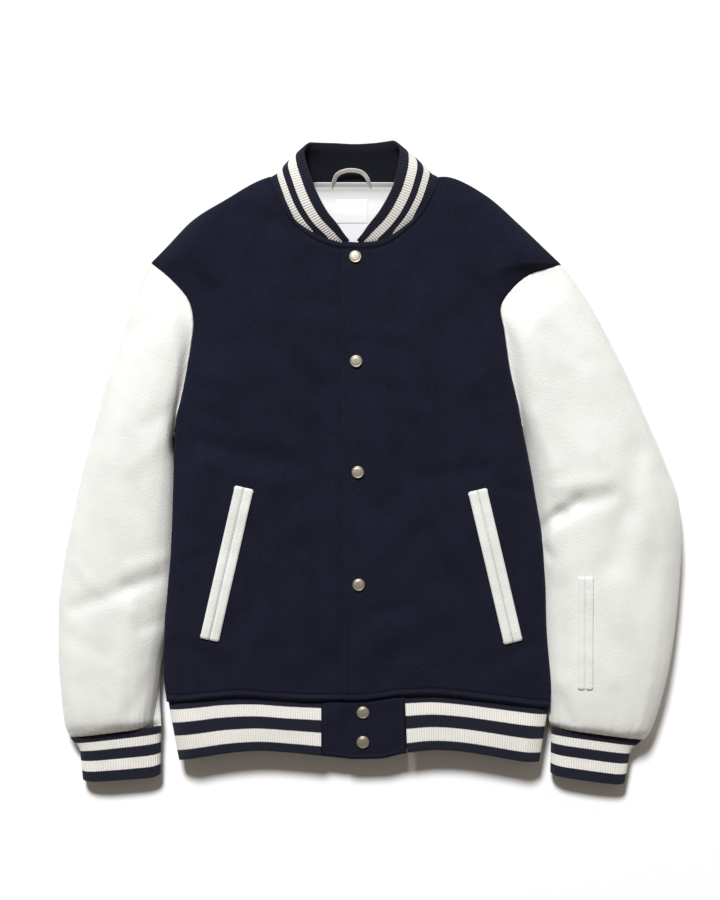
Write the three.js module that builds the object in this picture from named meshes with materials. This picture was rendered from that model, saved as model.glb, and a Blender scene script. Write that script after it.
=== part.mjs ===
// Varsity jacket laid out flat on its back, softly filled out: wool body, leather sleeves, striped rib-knit
// collar, cuffs and hem. Millimetres. The surface it lies on is z = 0, +Y points to the collar, and +X is the
// wearer's left. The origin lies on the surface under the middle of the back.
import * as THREE from 'three';

// Wall thicknesses of the cloths, and the gap left between pieces at a seam
const WOOL = 2.4;
const LEATHER = 1.8;
const KNIT = 3;
const COLLAR = 6;
const LINING = 1;
const SEAM = 0.3;

// Ribs of the knit: one every pitch, raised over the valleys between them. They are drawn where the knit
// shows from above: over half of a cuff, over both front stretches of the hem band, and all along the collar.
// The rest of a cuff and of the band is plain, with fewer columns.
const RIB_PITCH = 3.2;
const RIB_HEIGHT = 0.8;
const RIB_LENGTHS = { cuff: 110, band: 190, collar: 335 };
const RIBS_OF = (length) => Math.round(length / RIB_PITCH / 2) * 2;
const CUFF_RIBS = RIBS_OF(RIB_LENGTHS.cuff);
const CUFF_RIB_SHARE = 0.5;
const CUFF_PLAIN = 12;
const BAND_RIBS = RIBS_OF(RIB_LENGTHS.band);
const BAND_RIB_SHARE = 0.22;
const BAND_PLAIN = 24;
const COLLAR_RIBS = RIBS_OF(RIB_LENGTHS.collar);
const COLLAR_ROWS = [0, 0.4, 0.8, 0.93, 1];

// Body: radius of the soft roll at the sides and shoulders, how far the underside rolls up, and the placket
const SIDE_ROLL = 58;
const SHOULDER_ROLL = 36;
const UNDER_ROLL = 50;
const OVERLAP_DROP = 3.2;
const OVERLAP_FADE = { from: -62, to: -22 };
const HEM_LIP = { height: 3, reach: 9 };

// Rows of the body from hem to shoulder, the last ones at the armhole, and columns of a front from its edge
// to its side. The neck's share of a front's top edge comes first.
const NECK_SHARE = 0.42;
const FRONT_STEPS = [
  0, 0.07, 0.14, 0.21, 0.28, 0.35, NECK_SHARE,
  0.53, 0.64, 0.736, 0.82, 0.885, 0.94, 0.975, 0.993, 1,
];
const UNDERARM_ROW = 0.61;
const ARMHOLE_ROWS = [UNDERARM_ROW, 0.655, 0.7, 0.75, 0.8, 0.85, 0.895, 0.935, 0.965, 0.987, 1];
const BACK_NECK_CELLS = 6;
const BODY_ROWS = [0, 0.01, 0.08, 0.16, 0.24, 0.32, 0.4, 0.47, 0.54, ...ARMHOLE_ROWS];

// Hem band: the x of its two ends, each at a wool tab, the height of its lower edge, and its gap to the body
const BAND_ENDS = { right: -42, left: 56 };
const BAND_LOWER_HEIGHT = 37.5;
const BAND_GAP = SEAM + 0.2;

// Points of the band's two edges on the front, from its right end round to its left one, by x; then on the
// surface, shared by both edges; then at the two sides
const BAND_FRONT = {
  upperRight: [BAND_ENDS.right, -80, -120, -160, -190, -206],
  upperLeft: [209, 194, 164, 124, 90, BAND_ENDS.left],
  lowerRight: [BAND_ENDS.right, -78, -114, -150, -174, -188],
  lowerLeft: [191, 178, 154, 118, 86, BAND_ENDS.left + 3],
};
const BAND_UNDER = [-150, -75, 0, 75, 150];
const BAND_SIDES = {
  upperRight: [
    { x: -218, y: -283, z: 30 },
    { x: -212, y: -284, z: 12 },
    { x: -192, y: -283.5, z: 1.5 },
  ],
  upperLeft: [
    { x: 194, y: -288, z: 1.5 },
    { x: 214, y: -290, z: 12 },
    { x: 221, y: -290, z: 30 },
  ],
  lowerRight: [
    { x: -202, y: -349, z: 26 },
    { x: -198, y: -348, z: 10 },
    { x: -180, y: -346, z: 1.5 },
  ],
  lowerLeft: [
    { x: 182, y: -349, z: 1.5 },
    { x: 201, y: -351, z: 10 },
    { x: 205, y: -351, z: 26 },
  ],
};

// Snaps: a cap's size, its lift over the cloth's rounded form, and its profile as shares of radius and height
const SNAP = { diameter: 15, height: 2.9, lift: 0.45, sides: 12 };
const SNAP_PROFILE = [
  { r: 0, z: 0 },
  { r: 0.96, z: 0 },
  { r: 1, z: 0.17 },
  { r: 1, z: 0.41 },
  { r: 0.88, z: 0.66 },
  { r: 0.55, z: 0.92 },
  { r: 0, z: 1 },
];

// Body seen from above, from the hem corner up the side, round the armhole to the shoulder tip.
// z is the height of the side and armhole seams over the surface.
const SIDE = {
  right: [
    { x: -223, y: -273, z: 36 },
    { x: -226, y: -250, z: 38 },
    { x: -225, y: -186, z: 38 },
    { x: -220, y: -116, z: 38 },
    { x: -216, y: -16, z: 38 },
    { x: -212, y: 42, z: 38 },
    { x: -209, y: 58, z: 42 },
    { x: -203, y: 82, z: 45 },
    { x: -194, y: 132, z: 47 },
    { x: -191, y: 163, z: 47 },
    { x: -197, y: 188, z: 44 },
    { x: -216, y: 211, z: 38 },
    { x: -242, y: 233, z: 25 },
  ],
  left: [
    { x: 227, y: -277, z: 36 },
    { x: 226, y: -258, z: 38 },
    { x: 222, y: -200, z: 38 },
    { x: 219, y: -110, z: 38 },
    { x: 206, y: -24, z: 38 },
    { x: 191, y: 51, z: 38 },
    { x: 188, y: 67, z: 42 },
    { x: 179, y: 104, z: 46 },
    { x: 172, y: 151, z: 47 },
    { x: 168, y: 180, z: 46 },
    { x: 181, y: 201, z: 43 },
    { x: 203, y: 219, z: 38 },
    { x: 240, y: 231, z: 25 },
  ],
};

// Height of the back's side and armhole seam over the surface, by y
const UNDER_SEAM = {
  right: [
    { y: -273, z: 36 },
    { y: -250, z: 38 },
    { y: 42, z: 38 },
    { y: 58, z: 26 },
    { y: 96, z: 11 },
    { y: 150, z: 6 },
    { y: 200, z: 7 },
    { y: 224, z: 14 },
    { y: 233, z: 25 },
  ],
  left: [
    { y: -277, z: 36 },
    { y: -258, z: 38 },
    { y: 51, z: 38 },
    { y: 67, z: 26 },
    { y: 105, z: 11 },
    { y: 155, z: 6 },
    { y: 205, z: 7 },
    { y: 224, z: 14 },
    { y: 231, z: 25 },
  ],
};

// Row of the side table at the underarm, where the side seam meets the armhole, and its y
const UNDERARM_POINT = 5;
const UNDERARM = { right: 42, left: 51 };

// Neck seam from the centre front to the shoulder, then the shoulder seam to its tip. NECK_POINT is the row
// where the neck seam ends and the shoulder seam starts.
const NECK_POINT = 6;
const TOP = {
  right: [
    { x: 14, y: 254 },
    { x: -12, y: 253 },
    { x: -42, y: 260 },
    { x: -66, y: 274 },
    { x: -84, y: 293 },
    { x: -96, y: 317 },
    { x: -102, y: 333 },
    { x: -118, y: 327 },
    { x: -153, y: 307 },
    { x: -191, y: 284 },
    { x: -225, y: 250 },
    { x: -242, y: 233 },
  ],
  left: [
    { x: -18, y: 254 },
    { x: 8, y: 253 },
    { x: 32, y: 257 },
    { x: 52, y: 269 },
    { x: 72, y: 287 },
    { x: 88, y: 312 },
    { x: 96, y: 333 },
    { x: 110, y: 332 },
    { x: 150, y: 312 },
    { x: 190, y: 278 },
    { x: 225, y: 245 },
    { x: 240, y: 231 },
  ],
};

// Shoulder seams by x, and their height over the surface. Between them it runs above the neck, so that the
// fronts don't roll down there.
const SHOULDER = [
  { x: -242, y: 233, z: 25 },
  { x: -225, y: 250, z: 27 },
  { x: -191, y: 284, z: 30 },
  { x: -153, y: 307, z: 34 },
  { x: -118, y: 327, z: 37 },
  { x: -102, y: 333, z: 38 },
  { x: -90, y: 362, z: 38 },
  { x: -76, y: 420, z: 38 },
  { x: 70, y: 420, z: 38 },
  { x: 84, y: 362, z: 38 },
  { x: 96, y: 333, z: 38 },
  { x: 110, y: 332, z: 37 },
  { x: 150, y: 312, z: 34 },
  { x: 190, y: 278, z: 30 },
  { x: 225, y: 245, z: 27 },
  { x: 240, y: 231, z: 25 },
];

// Back neck seam by x, between the shoulder seams
const BACK_NECK = [
  { x: -102, y: 333, z: 37.7 },
  { x: -92, y: 331, z: 24 },
  { x: -76, y: 329, z: 10 },
  { x: -50, y: 327, z: 2 },
  { x: -3, y: 327, z: 0 },
  { x: 44, y: 327, z: 2 },
  { x: 70, y: 329, z: 10 },
  { x: 86, y: 331, z: 24 },
  { x: 96, y: 333, z: 37.7 },
];

// Front edges of the two fronts; the left one lies over the right one
const FRONT_EDGE = {
  right: { top: 14, bottom: 20 },
  left: { top: -18, bottom: -14 },
};

// Hem seam of the fronts, hem seam of the back, and the band's lower edge, by x and seen from above
const HEM_SEAM = [
  { x: -223, y: -273 },
  { x: -215, y: -281 },
  { x: -177, y: -280 },
  { x: -138, y: -277 },
  { x: -92, y: -280 },
  { x: -37, y: -282 },
  { x: 0, y: -282 },
  { x: 53, y: -276 },
  { x: 88, y: -275 },
  { x: 140, y: -280 },
  { x: 190, y: -286 },
  { x: 217, y: -287 },
  { x: 227, y: -277 },
];
const BACK_HEM = [
  { x: -223, y: -273 },
  { x: -215, y: -281 },
  { x: -190, y: -283 },
  { x: 0, y: -284.5 },
  { x: 190, y: -286 },
  { x: 217, y: -287 },
  { x: 227, y: -277 },
];
const BAND_EDGE = [
  { x: -204, y: -350 },
  { x: -167, y: -344 },
  { x: -123, y: -339 },
  { x: -74, y: -342 },
  { x: -41, y: -346 },
  { x: 0, y: -349.5 },
  { x: 26, y: -349 },
  { x: 55, y: -343 },
  { x: 98, y: -338 },
  { x: 140, y: -342 },
  { x: 183, y: -349 },
  { x: 206, y: -352 },
];

// Height of the filled-out front by y
const FILL = [
  { y: -300, z: 45 },
  { y: -270, z: 46 },
  { y: -200, z: 53 },
  { y: -100, z: 58 },
  { y: 0, z: 60 },
  { y: 100, z: 61 },
  { y: 180, z: 59 },
  { y: 250, z: 53 },
  { y: 300, z: 49 },
  { y: 340, z: 46 },
];

// Largest folds of the wool, each from one point to another: half width, and height (troughs are negative)
const WOOL_FOLDS = [
  { x1: -135, y1: 292, x2: -76, y2: 268, width: 13, height: -3 },
  { x1: -207, y1: 232, x2: -170, y2: 198, width: 11, height: -3 },
  { x1: -170, y1: 198, x2: -158, y2: 135, width: 12, height: -3 },
  { x1: -56, y1: 236, x2: -40, y2: 85, width: 17, height: -3.5 },
  { x1: -40, y1: 85, x2: -52, y2: -100, width: 15, height: -2.5 },
  { x1: -52, y1: -100, x2: -36, y2: -240, width: 16, height: -3 },
  { x1: -183, y1: 22, x2: -81, y2: -2, width: 12, height: -3.5 },
  { x1: -178, y1: -4, x2: -96, y2: -26, width: 12, height: 2.5 },
  { x1: -81, y1: -119, x2: -149, y2: -207, width: 17, height: -3.5 },
  { x1: 40, y1: 207, x2: 54, y2: 163, width: 10, height: -2.5 },
  { x1: 42, y1: 85, x2: 80, y2: 71, width: 10, height: -2.5 },
  { x1: 76, y1: -18, x2: 149, y2: -10, width: 10, height: -3 },
  { x1: 50, y1: 7, x2: 76, y2: -85, width: 14, height: -3 },
  { x1: 76, y1: -85, x2: 118, y2: -150, width: 15, height: -3.5 },
  { x1: 47, y1: -225, x2: 99, y2: -196, width: 15, height: -3 },
  { x1: 149, y1: 290, x2: 160, y2: 190, width: 13, height: -3 },
];

// Sleeve sections from the armhole to the cuff: outer and inner edge, each with its height, and the crown's
// height. `lap` is how far the under sleeve bulges past the inner edge.
const SLEEVE = {
  right: [
    { ox: -242.3, oy: 233, oz: 25, ix: -212.4, iy: 41, iz: 37, crown: 50, lap: 0 },
    { ox: -254, oy: 207, oz: 26, ix: -216, iy: 28, iz: 31, crown: 56, lap: 0 },
    { ox: -266, oy: 172, oz: 28, ix: -214.5, iy: 8, iz: 22, crown: 60, lap: 0 },
    { ox: -281, oy: 128, oz: 30, ix: -210, iy: -18, iz: 14, crown: 62, lap: 0 },
    { ox: -296, oy: 84, oz: 30, ix: -209, iy: -46, iz: 12, crown: 63, lap: 0 },
    { ox: -310, oy: 34, oz: 30, ix: -209, iy: -76, iz: 12, crown: 63, lap: 0 },
    { ox: -323, oy: -16, oz: 30, ix: -210, iy: -106, iz: 12, crown: 62, lap: 0 },
    { ox: -335, oy: -72, oz: 30, ix: -212, iy: -138, iz: 12, crown: 60, lap: 0 },
    { ox: -345, oy: -125, oz: 29, ix: -215, iy: -170, iz: 12, crown: 58, lap: 0 },
    { ox: -351, oy: -178, oz: 28, ix: -221, iy: -200, iz: 13, crown: 57, lap: 1 },
    { ox: -351, oy: -228, oz: 28, ix: -230, iy: -236, iz: 17, crown: 56, lap: 4 },
    { ox: -348, oy: -272, oz: 27, ix: -235, iy: -276, iz: 20, crown: 54, lap: 7 },
    { ox: -344, oy: -308, oz: 25, ix: -239, iy: -302, iz: 20, crown: 50, lap: 10 },
    { ox: -338, oy: -325, oz: 20, ix: -241, iy: -313, iz: 18, crown: 38, lap: 11 },
  ],
  left: [
    { ox: 240.3, oy: 231, oz: 25, ix: 191.4, iy: 50, iz: 37, crown: 50, lap: 0 },
    { ox: 256, oy: 211, oz: 26, ix: 195, iy: 35, iz: 31, crown: 56, lap: 0 },
    { ox: 276, oy: 180, oz: 28, ix: 197, iy: 12, iz: 22, crown: 60, lap: 0 },
    { ox: 297, oy: 140, oz: 30, ix: 199, iy: -12, iz: 14, crown: 62, lap: 0 },
    { ox: 319, oy: 96, oz: 30, ix: 202, iy: -40, iz: 12, crown: 63, lap: 0 },
    { ox: 342, oy: 45, oz: 30, ix: 206, iy: -70, iz: 12, crown: 64, lap: 0 },
    { ox: 363, oy: -5, oz: 30, ix: 208, iy: -100, iz: 12, crown: 64, lap: 0 },
    { ox: 378, oy: -50, oz: 30, ix: 211, iy: -132, iz: 12, crown: 63, lap: 0 },
    { ox: 381, oy: -95, oz: 30, ix: 213, iy: -160, iz: 12, crown: 61, lap: 0 },
    { ox: 379, oy: -140, oz: 29, ix: 214, iy: -188, iz: 12, crown: 60, lap: 0 },
    { ox: 374, oy: -195, oz: 28, ix: 216, iy: -220, iz: 12, crown: 58, lap: 0 },
    { ox: 366, oy: -247, oz: 27, ix: 219, iy: -255, iz: 12, crown: 56, lap: 0 },
    { ox: 355, oy: -290, oz: 26, ix: 224, iy: -287, iz: 15, crown: 52, lap: 0 },
    { ox: 345, oy: -318, oz: 24, ix: 226, iy: -305, iz: 16, crown: 47, lap: 0 },
    { ox: 338, oy: -328, oz: 20, ix: 228, iy: -313, iz: 15, crown: 38, lap: 0 },
  ],
};

// Cross section of a sleeve: share of the way from the outer to the inner edge, share of the crown's height
const SLEEVE_ROUND = [
  { across: 0, up: 0 },
  { across: 0.02, up: 0.27 },
  { across: 0.07, up: 0.52 },
  { across: 0.16, up: 0.77 },
  { across: 0.3, up: 0.94 },
  { across: 0.46, up: 1 },
  { across: 0.62, up: 0.95 },
  { across: 0.76, up: 0.8 },
  { across: 0.87, up: 0.56 },
  { across: 0.95, up: 0.28 },
  { across: 1, up: 0 },
];
const ARMHOLE_FADE = { outer: 5, inner: 2 }; // sections over which the armhole's bow fades out of a sleeve
const ARMHOLE_BLEND = 1.6; // sections over which the armhole's heights fade out
const SLEEVE_FLAT = 0.16; // share of a sleeve's width over which its underside curls up at an edge
const LAP_SHARE = 0.24; // share of a sleeve's width over which its underside bulges past the inner edge

// Largest folds of the leather
const SLEEVE_FOLDS = [
  { x1: -200, y1: 205, x2: -259, y2: 146, width: 12, height: -4 },
  { x1: -232, y1: -132, x2: -267, y2: -143, width: 11, height: -6 },
  { x1: -267, y1: -143, x2: -330, y2: -166, width: 10, height: -4 },
  { x1: -250, y1: -167, x2: -248, y2: -230, width: 13, height: -3 },
  { x1: 222, y1: -68, x2: 246, y2: -44, width: 11, height: -8 },
  { x1: 246, y1: -44, x2: 292, y2: -34, width: 11, height: -6 },
  { x1: 328, y1: 8, x2: 315, y2: -58, width: 16, height: -4 },
  { x1: 315, y1: -58, x2: 295, y2: -120, width: 16, height: -4 },
  { x1: 205, y1: 52, x2: 226, y2: -6, width: 12, height: 3 },
];

// Cuffs: where the band starts and ends along the sleeve's end, its two lower corners, and its heights at the
// sleeve and at its lower edge
const CUFF_ROUNDNESS = 0.62; // 1 is an oval, less is squarer
const CUFF = {
  right: { start: 0.08, end: 1.1, ox: -321, oy: -376, ix: -231, iy: -369, top: 33, lower: 27 },
  left: { start: 0.07, end: 0.99, ox: 313, oy: -379, ix: 227, iy: -367, top: 33, lower: 27 },
};

// Collar from the right centre front round the back to the left one: the seam below, the rim above, and how
// far it bulges away from its middle at each place
const COLLAR_MIDDLE = new THREE.Vector3(-3, 305, 60);
const COLLAR_PLACES = [
  { sx: -12, sy: 254.5, sz: 47, rx: -9, ry: 257, rz: 50, bulge: 0 },
  { sx: -24, sy: 256, sz: 47.5, rx: -15, ry: 264, rz: 54, bulge: 0.5 },
  { sx: -43, sy: 262.5, sz: 48, rx: -23, ry: 275, rz: 59, bulge: 1.5 },
  { sx: -62, sy: 273, sz: 49, rx: -33, ry: 288, rz: 63, bulge: 3 },
  { sx: -80, sy: 290.5, sz: 49, rx: -43, ry: 306, rz: 65, bulge: 4 },
  { sx: -91, sy: 310, sz: 47, rx: -51, ry: 324, rz: 65, bulge: 4 },
  { sx: -98.5, sy: 331, sz: 40, rx: -58, ry: 345, rz: 61, bulge: 5 },
  { sx: -90, sy: 334, sz: 25, rx: -62, ry: 362, rz: 54, bulge: 6 },
  { sx: -66, sy: 331, sz: 10, rx: -53, ry: 374, rz: 44, bulge: 4 },
  { sx: -32, sy: 329, sz: 4, rx: -30, ry: 374, rz: 36, bulge: 3 },
  { sx: -3, sy: 328.5, sz: 3, rx: -3, ry: 373, rz: 33, bulge: 3 },
  { sx: 26, sy: 329, sz: 4, rx: 20, ry: 374, rz: 36, bulge: 3 },
  { sx: 60, sy: 331, sz: 10, rx: 41, ry: 376, rz: 44, bulge: 4 },
  { sx: 84, sy: 334, sz: 25, rx: 50, ry: 364, rz: 54, bulge: 6 },
  { sx: 92.5, sy: 331, sz: 40, rx: 48, ry: 346, rz: 61, bulge: 5 },
  { sx: 84, sy: 310, sz: 47, rx: 43, ry: 325, rz: 65, bulge: 4 },
  { sx: 69, sy: 287, sz: 49, rx: 34, ry: 305, rz: 65, bulge: 4 },
  { sx: 50, sy: 270.5, sz: 50, rx: 24, ry: 288, rz: 63, bulge: 3 },
  { sx: 31, sy: 259, sz: 51, rx: 14, ry: 275, rz: 60, bulge: 1.5 },
  { sx: 14, sy: 255.5, sz: 51, rx: 6, ry: 264, rz: 56, bulge: 0.5 },
  { sx: 3, sy: 254.5, sz: 50, rx: 0, ry: 257, rz: 53, bulge: 0 },
];

// Pockets: upper end of the slit, lower end, the width of each leather lip, and its lift over the cloth's
// rounded form, which is less than nothing where the flat faces of that form run below it
const POCKETS = {
  right: { x1: -131, y1: -31, x2: -172, y2: -208, lip: 10.2, lift: 0.2 },
  left: { x1: 140, y1: -34, x2: 182, y2: -211, lip: 10.2, lift: -0.9 },
};
const SLEEVE_POCKET = { x1: 266, y1: -135, x2: 266, y2: -266, lip: 8.2, lift: -0.9 };
const LIP_GAP = 0.8;
const LIP_HEIGHT = 2.2;
const LIP_EDGE_SHARE = 0.6; // a lip's height at its edges, as a share of its height in the middle
const LIP_STEPS = [0, 0.15, 0.5, 0.85, 1];

// Snaps down the placket and on the hem tab
const SNAPS = [
  { x: -2, y: 238, on: 'front' },
  { x: -1, y: 116, on: 'front' },
  { x: 1, y: -13, on: 'front' },
  { x: 2, y: -144, on: 'front' },
  { x: 7, y: -294, on: 'tab' },
  { x: 7, y: -329, on: 'tab' },
];

// Hem tabs: their front-to-side reach at the seam and at the lower edge
const TABS = {
  right: { from: -41.7, to: 22, lowerFrom: -42, lowerTo: 20, lift: 0 },
  left: { from: -14, to: 55.7, lowerFrom: -12, lowerTo: 58, lift: 3.4 },
};
const TAB_THICKNESS = 2.6;
const TAB_DROP = 7; // a tab's fall from the seam to its lower edge

// Lining seen through the neck, by y: its left and right edge and its height; and the label patch sewn on it
const NECK_LINING = [
  { y: 239, left: -58, right: 52, z: 4.2 },
  { y: 262, left: -68, right: 62, z: 6.5 },
  { y: 288, left: -70, right: 64, z: 6.5 },
  { y: 308, left: -66, right: 60, z: 5 },
  { y: 319, left: -63, right: 57, z: 6.2 },
  { y: 324.5, left: -60, right: 54, z: 8.2 },
];
const LINING_LIFT = 0.9; // how far the lining stays over the back where that rises
const LABEL = { left: -25, right: 13, top: 309, bottom: 281 };

// Hanger loop: the middle line of its tape
const LOOP_WIDTH = 6.5;
const LOOP = [
  { x: -27, y: 321, z: 9 },
  { x: -26.5, y: 330, z: 14.6 },
  { x: -21, y: 339, z: 20 },
  { x: -10.5, y: 343, z: 22.5 },
  { x: 0, y: 342, z: 22 },
  { x: 9, y: 337, z: 19 },
  { x: 13.5, y: 330, z: 14 },
  { x: 14, y: 321, z: 9 },
];

const COLOURS = {
  wool: new THREE.MeshStandardMaterial({ color: 0x171b2f, roughness: 0.95, metalness: 0 }),
  leather: new THREE.MeshStandardMaterial({ color: 0xf0f0ea, roughness: 0.55, metalness: 0 }),
  rib: new THREE.MeshStandardMaterial({ color: 0x1c2138, roughness: 0.9, metalness: 0 }),
  lining: new THREE.MeshStandardMaterial({ color: 0xf2f1ee, roughness: 0.7, metalness: 0 }),
  tape: new THREE.MeshStandardMaterial({ color: 0xe6e0cf, roughness: 0.8, metalness: 0 }),
  metal: new THREE.MeshStandardMaterial({ color: 0xd3ccbd, roughness: 0.35, metalness: 0.9 }),
};

const lerp = THREE.MathUtils.lerp;
const clamp = THREE.MathUtils.clamp;
const smoothstep = THREE.MathUtils.smoothstep;

// A smooth function through a table's rows, from the column `key` to the column `value`, with no overshoot
function through(rows, key, value) {
  const sorted = rows.map((row) => ({ t: row[key], f: row[value] })).sort((a, b) => a.t - b.t);
  const slopes = sorted.slice(1).map((row, i) => (row.f - sorted[i].f) / (row.t - sorted[i].t));
  const tangents = sorted.map((row, i) => {
    if (i === 0) return slopes[0];
    if (i === slopes.length) return slopes[i - 1];
    const product = slopes[i - 1] * slopes[i];
    return product <= 0 ? 0 : (2 * product) / (slopes[i - 1] + slopes[i]);
  });
  return (t) => {
    const inside = clamp(t, sorted[0].t, sorted[sorted.length - 1].t);
    let i = 0;
    while (i < slopes.length - 1 && inside > sorted[i + 1].t) i += 1;
    const span = sorted[i + 1].t - sorted[i].t;
    const s = (inside - sorted[i].t) / span;
    const a = sorted[i];
    const b = sorted[i + 1];
    const start = (1 + 2 * s) * (1 - s) ** 2 * a.f + s * (1 - s) ** 2 * span * tangents[i];
    const end = s * s * (3 - 2 * s) * b.f + s * s * (s - 1) * span * tangents[i + 1];
    return start + end;
  };
}

// A smooth path through a table's points, read at equal steps of length from 0 to 1
function pathThrough(rows) {
  const points = rows.map(({ x, y, z = 0 }) => new THREE.Vector3(x, y, z));
  const curve = new THREE.CatmullRomCurve3(points, false, 'centripetal');
  return (t) => curve.getPointAt(clamp(t, 0, 1));
}

// Equal steps from 0 to 1
function steps(count) {
  return Array.from({ length: count + 1 }, (_, i) => i / count);
}

// Height that the folds of a table add at a point
function foldsAt(folds, x, y) {
  return folds.reduce((sum, fold) => {
    const dx = fold.x2 - fold.x1;
    const dy = fold.y2 - fold.y1;
    const t = clamp(((x - fold.x1) * dx + (y - fold.y1) * dy) / (dx * dx + dy * dy), 0, 1);
    const far = Math.hypot(x - fold.x1 - t * dx, y - fold.y1 - t * dy) / fold.width;
    return sum + fold.height * Math.exp(-far * far);
  }, 0);
}

// A cloth wall as one closed solid. `at(u, v)` gives a point of the outer skin, and `side` is 1 where the
// outside lies along du x dv, else -1. `ribs(u)` is how deep every second column lies as a valley between two
// ribs, over a plain inner skin that has only the columns in `innerColumns`. `cuts(u, v)` names directions that
// the wall's edge face runs square to at that place.
function wall({ at, us, vs, thickness, side = 1, closed = false, ribs, innerColumns, cuts }) {
  const small = 1e-3;
  const columns = us.length - 1;
  const rows = vs.length - 1;
  // The way out of the skin at a place
  const normalAt = (u, v) => {
    const u0 = closed ? u - small : Math.max(u - small, 0);
    const u1 = closed ? u + small : Math.min(u + small, 1);
    const along = at(u1, v).sub(at(u0, v));
    const up = at(u, Math.min(v + small, 1)).sub(at(u, Math.max(v - small, 0)));
    const normal = along.cross(up).multiplyScalar(side).normalize();
    const directions = cuts ? cuts(u, v) : [];
    for (const direction of directions) normal.addScaledVector(direction, -normal.dot(direction));
    return normal.normalize();
  };
  const thick = typeof thickness === 'function' ? thickness : () => thickness;
  const positions = [];
  // Adds one column's points at a depth under the skin, and gives their indices
  const column = (i, depthAt) => vs.map((v) => {
    const p = at(us[i], v).addScaledVector(normalAt(us[i], v), -depthAt(us[i], v));
    positions.push(p.x, p.y, p.z);
    return positions.length / 3 - 1;
  });
  const count = closed ? columns : columns + 1;
  const outer = [];
  for (let i = 0; i < count; i += 1) outer.push(column(i, (u) => (ribs && i % 2 === 1 ? ribs(u) : 0)));
  const kept = innerColumns ?? Array.from({ length: columns + 1 }, (_, i) => i);
  const inner = kept.slice(0, closed ? -1 : undefined).map((i) => column(i, thick));
  const faces = [];
  const triangle = (a, b, c) => faces.push(...(side > 0 ? [a, b, c] : [a, c, b]));
  const quad = (a, b, c, d) => {
    triangle(a, b, c);
    triangle(a, c, d);
  };
  for (let i = 0; i < columns; i += 1) {
    const next = (i + 1) % count;
    for (let j = 0; j < rows; j += 1) quad(outer[i][j], outer[next][j], outer[next][j + 1], outer[i][j + 1]);
  }
  for (let c = 0; c < kept.length - 1; c += 1) {
    const here = inner[c];
    const next = inner[(c + 1) % inner.length];
    for (let j = 0; j < rows; j += 1) quad(here[j + 1], next[j + 1], next[j], here[j]);
    const middle = Math.floor((kept[c] + kept[c + 1]) / 2);
    for (const [row, turned] of [[0, false], [rows, true]]) {
      const rim = (a, b, d) => (turned ? triangle(a, b, d) : triangle(a, d, b));
      for (let i = kept[c]; i < kept[c + 1]; i += 1) {
        rim(outer[i % count][row], outer[(i + 1) % count][row], i < middle ? here[row] : next[row]);
      }
      rim(outer[middle % count][row], next[row], here[row]);
    }
  }
  if (!closed) {
    const last = inner[inner.length - 1];
    for (let j = 0; j < rows; j += 1) {
      quad(outer[0][j], outer[0][j + 1], inner[0][j + 1], inner[0][j]);
      quad(outer[columns][j + 1], outer[columns][j], last[j], last[j + 1]);
    }
  }
  const geometry = new THREE.BufferGeometry();
  geometry.setAttribute('position', new THREE.Float32BufferAttribute(positions, 3));
  geometry.setIndex(faces);
  geometry.computeVertexNormals();
  return geometry;
}

// A patch between four edge paths, all read from 0 to 1: bottom and top along u, start and end along v
function patchBetween(bottom, top, start, end) {
  const corners = [bottom(0), bottom(1), top(0), top(1)];
  return (u, v) => {
    const lengthwise = bottom(u).multiplyScalar(1 - v).addScaledVector(top(u), v);
    const crosswise = start(v).multiplyScalar(1 - u).addScaledVector(end(v), u);
    return lengthwise.add(crosswise)
      .addScaledVector(corners[0], -(1 - u) * (1 - v))
      .addScaledVector(corners[1], -u * (1 - v))
      .addScaledVector(corners[2], -(1 - u) * v)
      .addScaledVector(corners[3], -u * v);
  };
}

// Body: its seams and the height of its filled-out front at each point seen from above
const fill = through(FILL, 'y', 'z');
const shoulderY = through(SHOULDER, 'x', 'y');
const shoulderZ = through(SHOULDER, 'x', 'z');
const hemY = through(HEM_SEAM, 'x', 'y');
const backHemY = through(BACK_HEM, 'x', 'y');
const bandEdgeY = through(BAND_EDGE, 'x', 'y');
const sideX = { right: through(SIDE.right, 'y', 'x'), left: through(SIDE.left, 'y', 'x') };
const sideZ = { right: through(SIDE.right, 'y', 'z'), left: through(SIDE.left, 'y', 'z') };
const underZ = { right: through(UNDER_SEAM.right, 'y', 'z'), left: through(UNDER_SEAM.left, 'y', 'z') };
const sidePath = {
  right: pathThrough(SIDE.right.map(({ x, y }) => ({ x, y }))),
  left: pathThrough(SIDE.left.map(({ x, y }) => ({ x, y }))),
};

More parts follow.
